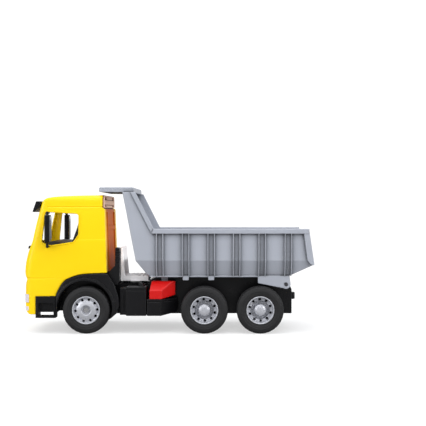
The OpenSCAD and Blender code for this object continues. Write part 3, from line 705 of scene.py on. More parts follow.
# =====================================================================
# Cab
# =====================================================================
CAB_FRONT = [(-297, 41.4), (-305, 42.2), (-311.2, 48), (-313.2, 56), (-314.1, 64), (-313.9, 77), (-314, 96.6), (-313.2, 106.5),
             (-311.4, 113), (-310.4, 116.2), (-311, 119.4), (-313.8, 123.6), (-316, 131.6), (-315.4, 141), (-313.2, 158), (-309.4, 175),
             (-305.6, 184), (-301.6, 193), (-298.3, 202), (-291.6, 234), (-286.6, 253.8), (-282, 271.2), (-277.6, 284), (-271.4, 290.4),
             (-262, 293.8), (-240, 296.3), (-202, 297.9), (-147.5, 299.2)]
CAB_REAR = [(-147.5, 271.5), (-142.6, 269), (-138, 131)]
CAB_LOW = [(-152, 130.4), (-189.5, 128.5), (-216.4, 121), (-231.8, 111.3), (-245.2, 89), (-247.3, 80.7)]
_front = list(map(tuple, smooth_line(CAB_FRONT, 1.5)))
_low = list(map(tuple, smooth_line(CAB_LOW, 1.5)))
CAB_SIDE = Outline(_front + CAB_REAR + _low + [(-291.3, 80.7), (-291.3, 41.4)])
CAB_OPEN = Outline([(-297, 20)] + _front + [(-90, 300.4), (-90, 20)])
HW = 106.0
CAB_PLAN = Outline(fillet([(-316.8, -HW, 19), (-60, -HW), (-60, HW), (-316.8, HW, 19)], 16))
CAB_LEAN = Outline(fillet([(-0.6, -HW, 20), (290, -HW), (290, HW), (-0.6, HW, 20)], 16))
CAB_SECT = Outline(fillet([(-HW, 0), (HW, 0), (HW, 196, 40), (99.8, 300.2, 15), (-99.8, 300.2, 15), (-HW, 196, 40)], 10))
SIDE_WIN = Outline(fillet([(-269.8, 262, 5), (-199.4, 257.8, 5), (-199.4, 214, 14), (-210, 198.2, 8), (-260.6, 190.4, 12), (-277, 196.5, 5)], 8), cell=0.3, pad=12)
FRONT_WIN = Outline(fillet([(-88, 199, 12), (88, 199, 12), (82, 266, 10), (-82, 266, 10)], 8), cell=0.4, pad=12)
_c, _s = math.cos(math.radians(14.6)), math.sin(math.radians(14.6))


def cab_wall(x, y, z):
    """Distance to the cab's four upright sides."""
    u = (x + 306.8) * _c - (z - 186) * _s
    return AND(CAB_PLAN(x, y), CAB_LEAN(u, y), 3)


def cab_field(x, y, z):
    w = cab_wall(x, y, z)
    s = CAB_SECT(y, z)
    ay = np.abs(y)
    # the side is set in a little above the shoulder line
    onside = step01(ay, 88, 100)
    inset = 0.9 * step01(z, 199.5, 205) * step01(x, -212, -196) * onside
    body = ALL(3.0, w + inset, s)
    out = ALL(1.3, body, CAB_SIDE(x, z))
    inn = ALL(2.0, w + 3.0, s + 3.0, CAB_OPEN(x, z) + 3.0)
    d = CUT(out, inn, 0.6)
    # side windows with a raised lip, and the windscreen opening
    win = SIDE_WIN(x, z)
    lipz = np.maximum(np.abs(win - 1.6) - 1.1, np.abs(w + 0.2) - 0.75)
    d = OR(d, np.maximum(lipz, 96 - ay), 0.6)
    d = CUT(d, np.maximum(win, 60 - ay), 0.8)
    fw = FRONT_WIN(y, z)
    d = CUT(d, np.maximum(fw, x + 262), 0.9)
    d = CUT(d, np.maximum(np.abs(fw - 3.4) - 0.45, np.maximum(np.abs(w) - 0.7, x + 262)), 0.4)
    # drip groove under the roof
    q = np.hypot(z - 272.9 + (x + 262) * -0.0, s) - 1.0
    d = CUT(d, np.maximum(q, np.maximum(-266 - x, x + 146)), 0.5)
    # joint between cab and bumper apron, running round the front
    q = np.hypot(z - 119.2, w) - 1.15
    d = CUT(d, np.maximum(q, x + 236), 0.5)
    # bonnet flap: a fine joint round the front panel
    flap = np.abs(np.maximum(np.abs(y) - 84, np.abs(z - 154.5) - 31)) - 0.5
    d = CUT(d, ALL(0, flap, x + 296, np.abs(w) - 0.8), 0.3)
    # short upright joint on the apron
    q = np.maximum(np.abs(x + 258) - 0.5, np.maximum(np.abs(z - 99) - 17.5, np.maximum(np.abs(w) - 0.8, 90 - ay)))
    d = CUT(d, q, 0.3)
    return d


FEND = Outline(fillet([(-246.8, 46), (-247, 80.2), (-244.6, 88.6), (-231.4, 110.7, 20), (-216.2, 120.4, 20), (-189.4, 127.9, 40), (-152, 129.8),
                       (-137, 129.8, 6), (-122, 108, 25), (-112.4, 80, 40), (-110.4, 61, 6), (-116, 44, 3), (-131, 31, 2), (-160, 40), (-185, 60), (-225, 47)], 6))


def fender_field(x, y, z):
    o = FEND(x, z)
    r = np.hypot(x + 185, z - 54.5)
    disc = np.maximum(r - 62.8, slab(y, -110, -72))
    face = slab(y, -110, -106.4)
    tail = ALL(0, slab(x, -150, -100), slab(y, -110, -98), z - 129)
    d = OR(OR(disc, np.maximum(face, -(r - 59)), 0.8), tail, 0.5)
    d = ALL(0.9, d, o)
    d = CUT(d, r - 59.5, 0.8)
    # shallow step that runs round the arch
    d = CUT(d, np.maximum(np.abs(r - 66.4) - 0.6, np.abs(y + 110) - 0.6), 0.3)
    return d


STEP_PLAN = Outline(fillet([(-291.2, -84), (-291.2, -107.5, 3), (-247.3, -107.5, 2), (-247.3, -84)], 6))


def step_field(x, y, z):
    d = AND(STEP_PLAN(x, y), slab(z, 34, 80.5), 1.0)
    d = CUT(d, box(x, y, z, (-284, -120, 48), (-252, -98, 66), 1.2), 0.5)
    d = CUT(d, box(x, y, z, (-284, -120, 38.6), (-252, -80, 47), 1.2), 0.5)
    for k in range(5):
        # tread ridges on the top and the lower step
        xc = -282 + k * 6.6
        d = OR(d, box(x, y, z, (xc - 1.2, -107.1, 68.4), (xc + 1.2, -106.9 - 1.1, 77.6), 0.4), 0.3)
        d = OR(d, box(x, y, z, (xc - 1.0, -106.8, 47.0), (xc + 1.0, -98.6, 48.6), 0.4), 0.3)
    return d


def visor_field(x, y, z):
    prof = VISOR(x, z)
    d = AND(prof, np.abs(y) - 101, 1.2)
    d = CUT(d, ALL(0, np.abs(prof + 2.2) - 0.45, np.abs(np.abs(y) - 101) - 0.8), 0.25)
    ay = np.abs(y)
    tab = np.minimum(ay - 4, np.abs(ay - 52) - 4)
    d = OR(d, AND(VISOR_TAB(x, z), np.maximum(tab, -99), 0.4), 1.0)
    return d


VISOR = Outline(fillet([(-291.4, 284.6, 0.6), (-290.4, 285.6, 0.6), (-279.4, 285.6, 0.8), (-282.2, 277.6, 3), (-285, 272.4, 3), (-290, 266.4, 4), (-296.6, 262, 0.8), (-298.9, 263.2, 0.8)], 5), cell=0.25)
VISOR_TAB = Outline([(-286, 272.4), (-282.3, 271.3), (-277.9, 284), (-277.9, 285.6), (-283, 285.6)], cell=0.25)


MIR = Outline(fillet([(-267.5, -131.9, 3.4), (-256.4, -131.9, 1.4), (-256.4, -109, 1.4), (-267.5, -109, 4)], 6), cell=0.25)


def mirror_field(x, y, z):
    d = ALL(2.2, MIR(x, y), slab(z, 196.5, 256))
    # a shallow recess for the glass, with a frame round it
    fr = box(x, y, z, (-257.1, -130.4, 198.6), (-250, -110.4, 253.9), 0.8)
    d = CUT(d, fr, 0.3)
    arms = capsule(x, y, z, (-263, -119.6, 260.6), (-263, -104.6, 260.6), 2.6)
    arms = OR(arms, capsule(x, y, z, (-263, -119.6, 250), (-263, -119.6, 260.6), 2.9), 1.5)
    lo = capsule(x, y, z, (-263, -119.6, 188.2), (-263, -108.4, 188.2), 2.6)
    lo = OR(lo, capsule(x, y, z, (-263, -119.6, 188.2), (-263, -119.6, 200), 2.9), 1.5)
    arms = np.minimum(arms, lo)
    arms = np.maximum(arms, np.where(z > 220, y + 102.6, y + 106.1))
    return OR(d, arms, 1.5)


def cab():
    me = mesh_field("cab_shell", cab_field, (-316.5, -106.2, 41), (-137.5, 106.2, 298.5), (1.5, 1.4, 1.4), mirror_y=True)
    piece("cab_shell", me, M_YELLOW, "root", ("cab_shell",))
    me = mesh_field("fender", fender_field, (-247.2, -110.2, 30.5), (-110, -71.8, 130.2), 1.1)
    both_sides("front_fender", me, M_BLACK)
    me = mesh_field("step_box", step_field, (-291.4, -108.2, 33.8), (-247, -83.8, 80.8), 0.8)
    both_sides("step_box", me, M_SATIN)
    me = mesh_field("mirror_housing", mirror_field, (-268, -132, 184), (-256, -102.4, 264), 0.7)
    both_sides("mirror_housing", me, M_SATIN)
    me = mesh_field("sun_visor", visor_field, (-299.2, -101.2, 261.8), (-277.6, 101.2, 285.8), 0.9, mirror_y=True)
    piece("sun_visor", me, M_SATIN, "root", ("sun_visor",))


def both_sides(name, me, mat):
    piece(name + "_left", me, mat, "root", (name + "_left",))
    c = me.copy()
    c.name = name + "_right"
    n = len(c.loops)
    nn = np.empty(n * 3, np.float32)
    c.corner_normals.foreach_get("vector", nn)
    nn = nn.reshape(-1, 3) * np.array([1, -1, 1], np.float32)
    c.transform(Matrix.Scale(-1, 4, (0, 1, 0)))
    # flipping turns every face's corners round, all but its first
    lt = np.empty(len(c.polygons), np.int32)
    c.polygons.foreach_get("loop_total", lt)
    ls = np.empty(len(c.polygons), np.int32)
    c.polygons.foreach_get("loop_start", ls)
    lv0 = np.empty(n, np.int32)
    c.loops.foreach_get("vertex_index", lv0)
    poly = np.repeat(np.arange(len(lt)), lt)
    key0 = poly.astype(np.int64) * (len(c.vertices) + 1) + lv0
    c.flip_normals()
    lv1 = np.empty(n, np.int32)
    c.loops.foreach_get("vertex_index", lv1)
    key1 = poly.astype(np.int64) * (len(c.vertices) + 1) + lv1
    o0, o1 = np.argsort(key0, kind="stable"), np.argsort(key1, kind="stable")
    out = np.empty_like(nn)
    out[o1] = nn[o0]
    c.normals_split_custom_set(out)
    c.update()
    piece(name + "_right", c, mat, "root", (name + "_right",))


# =====================================================================
# Dump body
# =====================================================================
RIM_Z = 226.0
BW, RW = 107.0, 113.0
RIBS = [-23.3, 32.4, 87.5, 142.2, 197.1, 253.4]
B_SIDE = Outline([(-49.3, 123.6), (257, 123.6), (307.6, 147.6), (298.2, RIM_Z), (-37, RIM_Z), (-76, 305), (-104, 305), (-75.3, 157)])
B_IN = Outline([(-47.9, 126.6), (256.4, 126.6), (330, 161.5), (330, 340), (-108, 340), (-100.2, 300), (-72.4, 158.4)])
B_SECT = Outline([(-92, 123.6), (92, 123.6), (BW, 158), (BW, 330), (-BW, 330), (-BW, 158)])
B_SECT_IN = Outline([(-89.2, 126.6), (89.2, 126.6), (BW - 3, 158.9), (BW - 3, 350), (-BW + 3, 350), (-BW + 3, 158.9)])
RIM_BAND = Outline([(-36, RIM_Z), (-41.4, RIM_Z - 10.4), (297.6, RIM_Z - 10.4), (298.6, RIM_Z)])
WING_BAND = Outline([(-86.4, 305), (-76, 305), (-36.4, RIM_Z), (-41.2, 217), (-46.8, 226.6)])
REAR_BAND = Outline([(298.2, RIM_Z - 1), (286.2, RIM_Z - 6), (294.4, 158), (301.4, 149.6), (307.8, 147.6), (309.4, 149)])
RIB_YZ = Outline([(-BW + 0.6, 216.5), (-112, 216.5), (-112, 158), (-97.4, 123.6), (-91, 123.6), (-105.5, 158.2)], cell=0.3)
CANOPY = Outline(fillet([(-154.8, 305.9, 0.8), (-152.8, 305.7), (-79.6, 304.4), (-80.6, 314.4, 1), (-82, 316, 0.8), (-152.8, 316, 1.6), (-154.8, 314.5, 1)], 4), cell=0.4)
CAN_IN = Outline([(-152.2, 290), (-102.8, 290), (-102.8, 313.2), (-152.2, 313.2)], cell=0.4)
CAN_IN2 = Outline([(-99.6, 298), (-83.4, 298), (-83.4, 313.2), (-99.6, 313.2)], cell=0.4)
BRACKET = Outline(fillet([(188.8, 124.4), (188.8, 108, 2), (231, 99.7), (246, 97, 6), (256, 98.2, 6), (260, 104, 4), (257.4, 124.4)], 4), cell=0.3)
PX, PZ = 249.7, 105.5


def body_field(x, y, z):
    ay = np.abs(y)
    my = -ay
    side = B_SIDE(x, z)
    outer = ALL(1.6, side, B_SECT(y, z))
    inner = ALL(2.5, B_IN(x, z), B_SECT_IN(y, z))
    d = CUT(outer, inner, 0.7)
    band = ALL(0.9, RIM_BAND(x, z), slab(ay, 104.6, RW))
    d = OR(d, band, 0.8)
    wing = ALL(0.9, WING_BAND(x, z), slab(ay, 104.6, 110))
    d = OR(d, wing, 0.8)
    rear = ALL(0.8, REAR_BAND(x, z), slab(ay, 104.6, RW - 1))
    d = OR(d, rear, 0.8)
    # pairs of upright ribs, each tapering to a rounded crest
    rx = None
    for c in RIBS:
        q = np.abs(np.abs(x - c) - 6.85)
        rx = q if rx is None else np.minimum(rx, q)
    rib_p = RIB_YZ(my, z)
    taper = 1.05 - 0.05 * np.clip(ay - 107, 0, 5)
    d = OR(d, ALL(0.6, rx - taper, rib_p), 1.2)
    br = ALL(0.8, BRACKET(x, z), slab(ay, 91, 95.6))
    br = OR(br, ALL(0.8, np.hypot(x - PX, z - PZ) - 9.8, slab(ay, 91, 95.6)), 0.3)
    d = OR(d, br, 1.2)
    d = CUT(d, np.maximum(np.hypot(x - PX, z - PZ) - 3.68, np.maximum(80 - ay, ay - 100)), 0.3)
    feet = np.minimum(np.abs(x - 32.4), np.abs(x - 87.5)) - 6.5
    d = OR(d, ALL(0.7, feet, slab(z, 114.4, 124.6), slab(ay, 91.5, 95)), 0.6)
    d = OR(d, ALL(0.5, slab(x, -44, 225), slab(ay, 37.5, 41), slab(z, 118.3, 124.2)), 1.0)
    d = OR(d, ALL(0.7, slab(x, -46, 250), slab(ay, 90.4, 94.2), slab(z, 121.2, 124.8)), 0.4)
    can = AND(CANOPY(x, z), ay - 101, 1.2)
    can = CUT(can, np.maximum(np.minimum(CAN_IN(x, z), CAN_IN2(x, z)), ay - 98), 0.5)
    d = OR(d, can, 1.0)
    # opening in the tail
    d = CUT(d, ALL(0, ALL(8, slab(x, 266.5, 291), ay - 17), slab(z, 110, 165)), 0.7)
    return d


def loop_field(x, y, z):
    r = np.hypot(x + 15.4, z - 101.7)
    d = AND(r - 10, slab(y, -57.4, -53.4), 0.8)
    d = OR(d, box(x, y, z, (-22.4, -57.4, 105.7), (-8.4, -53.4, 124), 0.6), 1.0)
    return CUT(d, r - 5.5, 0.5)


def dump():
    me = mesh_field("dump_body", body_field, (-155, -113.2, 95.5), (309.6, 113.2, 316.2), (1.15, 1.3, 1.3), mirror_y=True)
    piece("dump_body_shell", me, M_GREY, "dump_body", ("dump_body",))
    me = mesh_field("latch_loop", loop_field, (-25.6, -57.6, 91.5), (-5.2, -53.2, 124.2), 0.6)
    piece("dump_body_loop", me, M_GREY, "dump_body", ("dump_body",))


# =====================================================================
# Chassis and the boxes along it
# =====================================================================
CH = Outline([(-288, 54), (-268, 44), (-125, 37), (266.4, 37), (266.4, 91), (262.6, 99), (257, 112), (251, 118), (-34, 118), (-50, 110), (-50, 104), (-288, 104)])
CH_BAYS = [Outline(p) for p in (
    [(-284.5, 20), (-192.4, 20), (-192.4, 100.5), (-284.5, 100.5)],
    [(-170.4, 20), (-49, 20), (-49, 100.5), (-170.4, 100.5)],
    [(-45.5, 20), (61.7, 20), (61.7, 114.5), (-31, 114.5), (-45.5, 107.6)],
    [(83.7, 20), (182.3, 20), (182.3, 114.5), (83.7, 114.5)],
    [(204.3, 20), (262.9, 20), (262.9, 88), (238, 92), (232, 114.5), (204.3, 114.5)])]


def chassis_field(x, y, z):
    ay = np.abs(y)
    d = AND(CH(x, z), ay - 47, 1.0)
    bay = CH_BAYS[0](x, z)
    for b in CH_BAYS[1:]:
        bay = np.minimum(bay, b(x, z))
    ax = np.minimum(np.minimum(np.abs(x + 181.4), np.abs(x - 72.7)), np.abs(x - 193.3))
    pocket = np.maximum(ax - 7.5, slab(z, 64, 100.4))
    d = CUT(d, ALL(0.8, np.minimum(bay, pocket), ay - 43.5), 0.6)
    tube = np.sqrt(ax * ax + (z - 51) ** 2)
    d = OR(d, AND(tube - 9, ay - 73.6, 0.8), 1.5)
    piv = np.sqrt((x - PX) ** 2 + (z - PZ) ** 2)
    d = OR(d, AND(piv - 7.5, ay - 90.4, 0.8), 1.0)
    # webs under the axle tubes
    d = OR(d, ALL(0.6, ax - 1.6, slab(z, 42, 74), ay - 60 + (np.abs(z - 51) * 0.55)), 1.0)
    pads = np.hypot(np.minimum(np.abs(x + 104), np.abs(x + 64)), ay - 30)
    d = OR(d, AND(pads - 5, slab(z, 103, 108.9), 0.3), 0.5)
    d = CUT(d, tube - 3.0, 0.2)
    d = CUT(d, piv - 3.6, 0.2)
    d = CUT(d, np.maximum(np.hypot(np.minimum(np.minimum(np.abs(x + 104), np.abs(x + 64)), np.minimum(np.abs(x + 262), np.abs(x + 160))), ay - 30) - 1.6, slab(z, 90, 115)), 0)
    return d


COUP = Outline(fillet([(266.45, -11), (273.4, -11, 3.4), (277.3, -6, 3), (277.3, 6, 3), (273.4, 11, 3.4), (266.45, 11)], 6), cell=0.25)


def coupling_field(x, y, z):
    d = ALL(1.6, COUP(x, y), slab(z, 65.2, 80.2))
    d = np.maximum(d, 266.45 - x)
    d = OR(d, ALL(0.5, slab(x, 266.45, 267.9), np.abs(y) - 15, slab(z, 61.5, 84)), 1.2)
    return CUT(d, np.hypot(x - 272.4, y) - 2.6, 0.5)


DECK = Outline([(-114, 109), (-52, 109), (-52, 118.8), (-53.2, 120), (-103.4, 120), (-104.4, 122), (-109.8, 183), (-110.6, 184), (-113.5, 184), (-114, 183)], cell=0.3)


def deck_field(x, y, z):
    ay = np.abs(y)
    d = AND(DECK(x, z), ay - 46, 0.8)
    d = CUT(d, np.maximum(box(x, 0 * y, z, (-111, -43, 100), (-55, 43, 116.8)), ay - 43), 0.4)
    d = CUT(d, np.maximum(box(x, 0 * y, z, (-111, -43, 123), (-90, 43, 200)), ay - 43), 0.4)
    bars = np.abs(np.mod(x + 92 + 4.3, 8.6) - 4.3) - 2.0
    d = OR(d, ALL(0.5, bars, slab(x, -94.2, -55.4), ay - 44, slab(z, 119, 121)), 0.5)
    posts = np.hypot(np.minimum(np.abs(x + 104), np.abs(x + 64)), ay - 30)
    d = OR(d, AND(posts - 4.6, slab(z, 108.9, 117.5), 0.3), 0.6)
    d = OR(d, ALL(0.4, slab(x, -92, -70), slab(ay, 46, 54), slab(z, 109, 111.5)), 0.4)
    return CUT(d, np.maximum(posts - 1.5, slab(z, 100, 115.5)), 0)


INT_L = Outline(fillet([(-136, 104.2), (-115.6, 104.2), (-111.6, 112), (-111.2, 184, 2.5), (-120.8, 186, 2.5), (-121.5, 146), (-136.4, 130.6)], 5), cell=0.3)
INT_R = Outline(fillet([(-136, 104.2), (-115.6, 104.2), (-112, 112), (-112, 128), (-118, 140), (-136.4, 130.6)], 5), cell=0.3)


def intake_field(x, y, z):
    d = AND(INT_L(x, z), slab(y, -94, -66), 1.0)
    d = OR(d, box(x, y, z, (-136, -66, 104.1), (-115.6, 47, 112), 0.5), 0.6)
    d = OR(d, AND(INT_R(x, z), slab(y, 66, 94), 1.0), 0.3)
    d = OR(d, box(x, y, z, (-136, 40, 104.1), (-115.6, 70, 112), 0.5), 0.6)
    s = np.abs(np.mod(z - 151.5 + 2.7, 5.4) - 2.7) - 1.4
    slot = ALL(0.4, s, slab(z, 149, 181.5), slab(x, -119.4, -113.0), slab(y, -96, -92.4))
    d = CUT(d, slot, 0.3)
    # louvres in the rear face
    s2 = np.abs(np.mod(z - 146 + 2.4, 4.8) - 2.4) - 1.2
    d = CUT(d, ALL(0.3, s2, slab(z, 118, 180), slab(y, -90.5, -69.5), slab(x, -112.7, -109)), 0.3)
    return d


TANK_PLAN = Outline(fillet([(-96, -54), (-96, -108, 3), (-52.4, -108, 2), (-52.4, -54)], 6))


def tank_field(x, y, z):
    d = ALL(1.0, TANK_PLAN(x, y), slab(z, 38.6, 100.8))
    d = OR(d, box(x, y, z, (-110, -101, 40), (-94, -54, 98), 1.5), 0.8)
    for zz in (50, 84):
        d = OR(d, box(x, y, z, (-90, -56, zz), (-58, -47.05, zz + 8), 0.4), 0.4)
    # the joint of the lid
    d = CUT(d, ALL(0, np.abs(z - 93.5) - 0.5, np.abs(AND(TANK_PLAN(x, y), -x - 95.0, 0)) - 0.8), 0.3)
    # vertical flutes on the narrow forward box
    fl = np.abs(np.mod(x + 103, 4.4) - 2.2) - 0.5
    d = CUT(d, ALL(0.2, fl, slab(x, -108.4, -97.4), slab(z, 46, 92), slab(y, -102, -100.4)), 0.2)
    return d


BOX_PLAN = Outline(fillet([(-51.4, -54), (-51.4, -106.6, 1.5), (-48, -108, 1), (-21, -108, 2), (13, -76), (13, -54)], 5), cell=0.4)
BOX_SIDE = Outline([(-51.5, 38.6), (-21, 38.6), (13.2, 44), (13.2, 74.4), (-51.5, 74.4)], cell=0.4)


def sidebox_field(x, y, z):
    d = ALL(1.0, BOX_PLAN(x, y), BOX_SIDE(x, z))
    d = OR(d, box(x, y, z, (-44, -56, 50), (0, -47.05, 62), 0.4), 0.4)
    d = CUT(d, ALL(0, np.abs(z - 68.6) - 0.45, np.abs(BOX_PLAN(x, y)) - 0.8, y + 60), 0.25)
    return d


LV_PLAN = Outline(fillet([(-45.9, -68), (-45.9, -107.6, 1.2), (-19.7, -107.6, 2), (9, -80, 2), (9, -68)], 5), cell=0.3)
LV_SIDE = Outline([(-45.9, 74.7), (-19.7, 74.7), (9, 81.5), (9, 112), (-41.6, 112), (-45.9, 92.2)], cell=0.3)
LV_END = Outline([(-107.7, 70), (-60, 70), (-60, 112), (-86, 112), (-107.7, 92.2)], cell=0.3)


def lever_field(x, y, z):
    d = ALL(1.3, LV_PLAN(x, y), LV_SIDE(x, z), LV_END(y, z))
    d = OR(d, AND(np.hypot(x + 15.4, z - 101.7) - 4.5, slab(y, -72, -60.2), 0.5), 0.8)
    b = np.hypot(np.minimum(np.abs(x + 36), np.abs(x + 12)), z - 87)
    d = CUT(d, np.maximum(b - 3.4, slab(y, -86.6, -50)), 0.3)
    return d


def frame_parts():
    me = mesh_field("chassis_frame", chassis_field, (-288.2, -90.6, 36.8), (266.6, 90.6, 118.2), (1.6, 1.5, 1.5), mirror_y=True)
    piece("chassis_frame", me, M_BLACK, "root", ("chassis_frame",))
    me = mesh_field("tow_coupling", coupling_field, (266.4, -15.2, 61.3), (277.5, 15.2, 84.2), 0.6)
    piece("tow_coupling", me, M_SATIN, "root", ("tow_coupling",))
    me = mesh_field("deck_plate", deck_field, (-114.2, -54.2, 108.6), (-51.8, 54.2, 184.2), (0.8, 1.2, 0.8), mirror_y=True)
    piece("deck_plate", me, M_PALEGREY, "root", ("deck_plate",))
    me = mesh_field("air_intake", intake_field, (-136.6, -94.2, 103.8), (-111, 94.2, 186.2), (0.8, 1.1, 0.8))
    piece("air_intake", me, M_BLACK, "root", ("air_intake",))
    me = mesh_field("side_tank", tank_field, (-110.2, -108.2, 38.4), (-52.2, -46.9, 101), 1.0)
    both_sides("side_tank", me, M_SATIN)
    me = mesh_field("side_box", sidebox_field, (-51.8, -108.2, 38.4), (13.4, -46.9, 74.6), 1.0)
    both_sides("side_box", me, M_SATIN)
    me = mesh_field("latch_lever", lever_field, (-46.1, -107.9, 74.5), (9.2, -60, 112.2), 0.8)
    piece("latch_lever", me, M_RED, "latch", ("latch_lever",))


# =====================================================================
# CAD parts kept as they are, with rounded edges and their finish
# =====================================================================
def finish_cad(node, mat, slot, width=0.5, seg=3):
    ob = NODES[node]
    ob.data.materials.clear()
    ob.data.materials.append(mat)
    if width > 0:
        b = ob.modifiers.new("edges", "BEVEL")
        b.width = width * MM
        b.segments = seg
        b.limit_method = "ANGLE"
        b.angle_limit = math.radians(35)
        b.harden_normals = False
        b.use_clamp_overlap = True


def kept():
    for n, m, s, w in (("filler_caps", M_BLACK, "black_plastic", 0.6), ("cab_rear_panel", M_AMBER, "amber_plastic", 0.8), ("rear_vent_panel", M_PALE, "pale_plastic", 0.3),
                       ("grille_insert", M_SATIN, "black_plastic", 0.2), ("headlamp_lenses", M_LENS, "lens_plastic", 0.2), ("lower_lamp_lenses", M_LENS, "lens_plastic", 0.2),
                       ("mirror_face_left", M_FOIL, "mirror_foil", 0.3), ("mirror_face_right", M_FOIL, "mirror_foil", 0.3), ("wiper_bars", M_SATIN, "black_plastic", 0.5),
                       ("interior_tub", M_SEAT, "black_plastic", 0.8), ("seats", M_SEAT, "seat_plastic", 3.0), ("front_axle", M_STEEL, "steel", 0.5), ("middle_axle", M_STEEL, "steel", 0.5),
                       ("rear_axle", M_STEEL, "steel", 0.5), ("axle_retainers", M_STEEL, "steel", 0.3), ("pivot_pin", M_DARK, "dark_plastic", 0.6), ("latch_guide", M_BLACK, "black_plastic", 0.4),
                       ("frame_screws", M_STEEL, "steel", 0.3)):
        finish_cad(n, m, s, w)


wheels()
cab()
dump()
frame_parts()
kept()


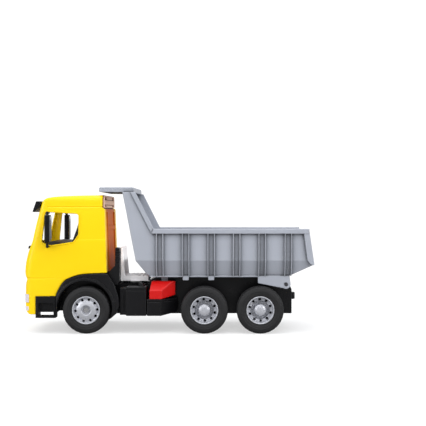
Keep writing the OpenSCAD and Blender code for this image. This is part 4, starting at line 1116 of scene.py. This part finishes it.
# =====================================================================
# Stage
# =====================================================================
def stage():
    sc = bpy.context.scene
    sc.view_settings.view_transform = "Standard"
    w = bpy.data.worlds.new("studio")
    sc.world = w
    w.use_nodes = True
    nt = w.node_tree
    nt.nodes.clear()
    out = nt.nodes.new("ShaderNodeOutputWorld")
    lp = nt.nodes.new("ShaderNodeLightPath")
    a = nt.nodes.new("ShaderNodeBackground")
    b = nt.nodes.new("ShaderNodeBackground")
    mix = nt.nodes.new("ShaderNodeMixShader")
    geo = nt.nodes.new("ShaderNodeTexCoord")
    sp = nt.nodes.new("ShaderNodeSeparateXYZ")
    mr = nt.nodes.new("ShaderNodeMapRange")
    mr.interpolation_type = "SMOOTHSTEP"
    mr.inputs["From Min"].default_value = -0.15
    mr.inputs["From Max"].default_value = 0.9
    mr.inputs["To Min"].default_value = 0.16
    mr.inputs["To Max"].default_value = 0.85
    nt.links.new(geo.outputs["Generated"], sp.inputs[0])
    nt.links.new(sp.outputs["Z"], mr.inputs["Value"])
    a.inputs[0].default_value = (0.95, 0.965, 1.0, 1)
    nt.links.new(mr.outputs[0], a.inputs[1])
    b.inputs[0].default_value = (1, 1, 1, 1)
    b.inputs[1].default_value = 1.15
    nt.links.new(lp.outputs["Is Camera Ray"], mix.inputs[0])
    nt.links.new(a.outputs[0], mix.inputs[1])
    nt.links.new(b.outputs[0], mix.inputs[2])
    nt.links.new(mix.outputs[0], out.inputs[0])
    bm = bmesh.new()
    bmesh.ops.create_grid(bm, x_segments=2, y_segments=2, size=14)
    me = bpy.data.meshes.new("floor")
    bm.to_mesh(me); bm.free()
    fl = bpy.data.objects.new("floor", me)
    COLL.objects.link(fl)
    fl.location = (0, 0, 0)
    m = bpy.data.materials.new("floor_white")
    m.use_nodes = True
    ft = m.node_tree
    bs = ft.nodes["Principled BSDF"]
    bs.inputs["Base Color"].default_value = (0.93, 0.93, 0.93, 1)
    bs.inputs["Roughness"].default_value = 0.8
    bs.inputs["Specular IOR Level"].default_value = 0.1
    tc = ft.nodes.new("ShaderNodeTexCoord")
    ln = ft.nodes.new("ShaderNodeVectorMath")
    ln.operation = "LENGTH"
    mr = ft.nodes.new("ShaderNodeMapRange")
    mr.interpolation_type = "SMOOTHSTEP"
    mr.inputs["From Min"].default_value = 0.32
    mr.inputs["From Max"].default_value = 1.0
    mr.inputs["To Min"].default_value = 0.5
    lpn = ft.nodes.new("ShaderNodeLightPath")
    mu = ft.nodes.new("ShaderNodeMath")
    mu.operation = "MULTIPLY"
    em = ft.nodes.new("ShaderNodeEmission")
    em.inputs["Color"].default_value = (1, 1, 1, 1)
    em.inputs["Strength"].default_value = 1.1
    ms = ft.nodes.new("ShaderNodeMixShader")
    ft.links.new(tc.outputs["Object"], ln.inputs[0])
    ft.links.new(ln.outputs["Value"], mr.inputs["Value"])
    ft.links.new(mr.outputs[0], mu.inputs[0])
    ft.links.new(lpn.outputs["Is Camera Ray"], mu.inputs[1])
    dim = ft.nodes.new("ShaderNodeBsdfDiffuse")
    dim.inputs["Color"].default_value = (0.34, 0.34, 0.34, 1)
    m0 = ft.nodes.new("ShaderNodeMixShader")
    ft.links.new(lpn.outputs["Is Camera Ray"], m0.inputs[0])
    ft.links.new(dim.outputs[0], m0.inputs[1])
    ft.links.new(bs.outputs[0], m0.inputs[2])
    ft.links.new(mu.outputs[0], ms.inputs[0])
    ft.links.new(m0.outputs[0], ms.inputs[1])
    ft.links.new(em.outputs[0], ms.inputs[2])
    ft.links.new(ms.outputs[0], ft.nodes["Material Output"].inputs["Surface"])
    me.materials.append(m)
    fl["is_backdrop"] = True

    def area(name, loc, target, size, power, color=(1, 1, 1), size_y=None):
        L = bpy.data.lights.new(name, "AREA")
        L.energy = power
        L.color = color
        L.shape = "RECTANGLE"
        L.size = size
        L.size_y = size_y or size
        o = bpy.data.objects.new(name, L)
        COLL.objects.link(o)
        o.location = loc
        o.rotation_mode = "QUATERNION"
        o.rotation_quaternion = (Vector(target) - Vector(loc)).to_track_quat("-Z", "Y")
        return o

    area("key_top", (-0.2, -0.35, 2.1), (0, 0, 0.1), 2.4, 31, size_y=1.8)
    area("left_soft", (-1.9, -1.5, 0.8), (-0.1, 0, 0.16), 1.5, 26, size_y=1.3)
    area("right_soft", (2.1, -1.5, 0.85), (0.1, 0, 0.16), 1.5, 30, size_y=1.3)
    area("front_fill", (0.1, -2.7, 1.5), (0, 0, 0.15), 1.8, 9, size_y=1.0)
    area("back_fill", (0.0, 2.2, 1.3), (0, 0, 0.2), 2.4, 10)
    # the gap behind the cab and the cab itself would be too dark without three small lamps that the camera doesn't see
    for o in (area("gap_fill", (-0.1045, 0, 0.218), (-0.3, 0, 0.218), 0.2, 0.08, size_y=0.13),
              area("deck_fill", (-0.080, -0.088, 0.145), (-0.080, 0.0, 0.135), 0.05, 0.011, size_y=0.05),
              area("cab_fill", (-0.235, -0.01, 0.235), (-0.225, 0.1, 0.225), 0.05, 0.04, size_y=0.05)):
        o.visible_camera = False
        o.visible_glossy = False
    cam = bpy.data.cameras.new("cam")
    cam.sensor_width = 36
    cam.lens = 70.9
    cam.clip_start, cam.clip_end = 0.05, 60
    co = bpy.data.objects.new("cam", cam)
    COLL.objects.link(co)
    co.location = (0.0945, -1.913, 0.2602)
    co.rotation_euler = (math.radians(90), 0, 0)
    sc.camera = co


stage()

# ---- last lines -----------------------------------------------------
def write_size():
    lo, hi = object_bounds()
    print("cad box", [round(v * 1000, 1) for v in CAD_LO], [round(v * 1000, 1) for v in CAD_HI])
    print("visual box", [round(v * 1000, 1) for v in lo], [round(v * 1000, 1) for v in hi], f"script {time.time() - T0:.0f} s")


write_size()
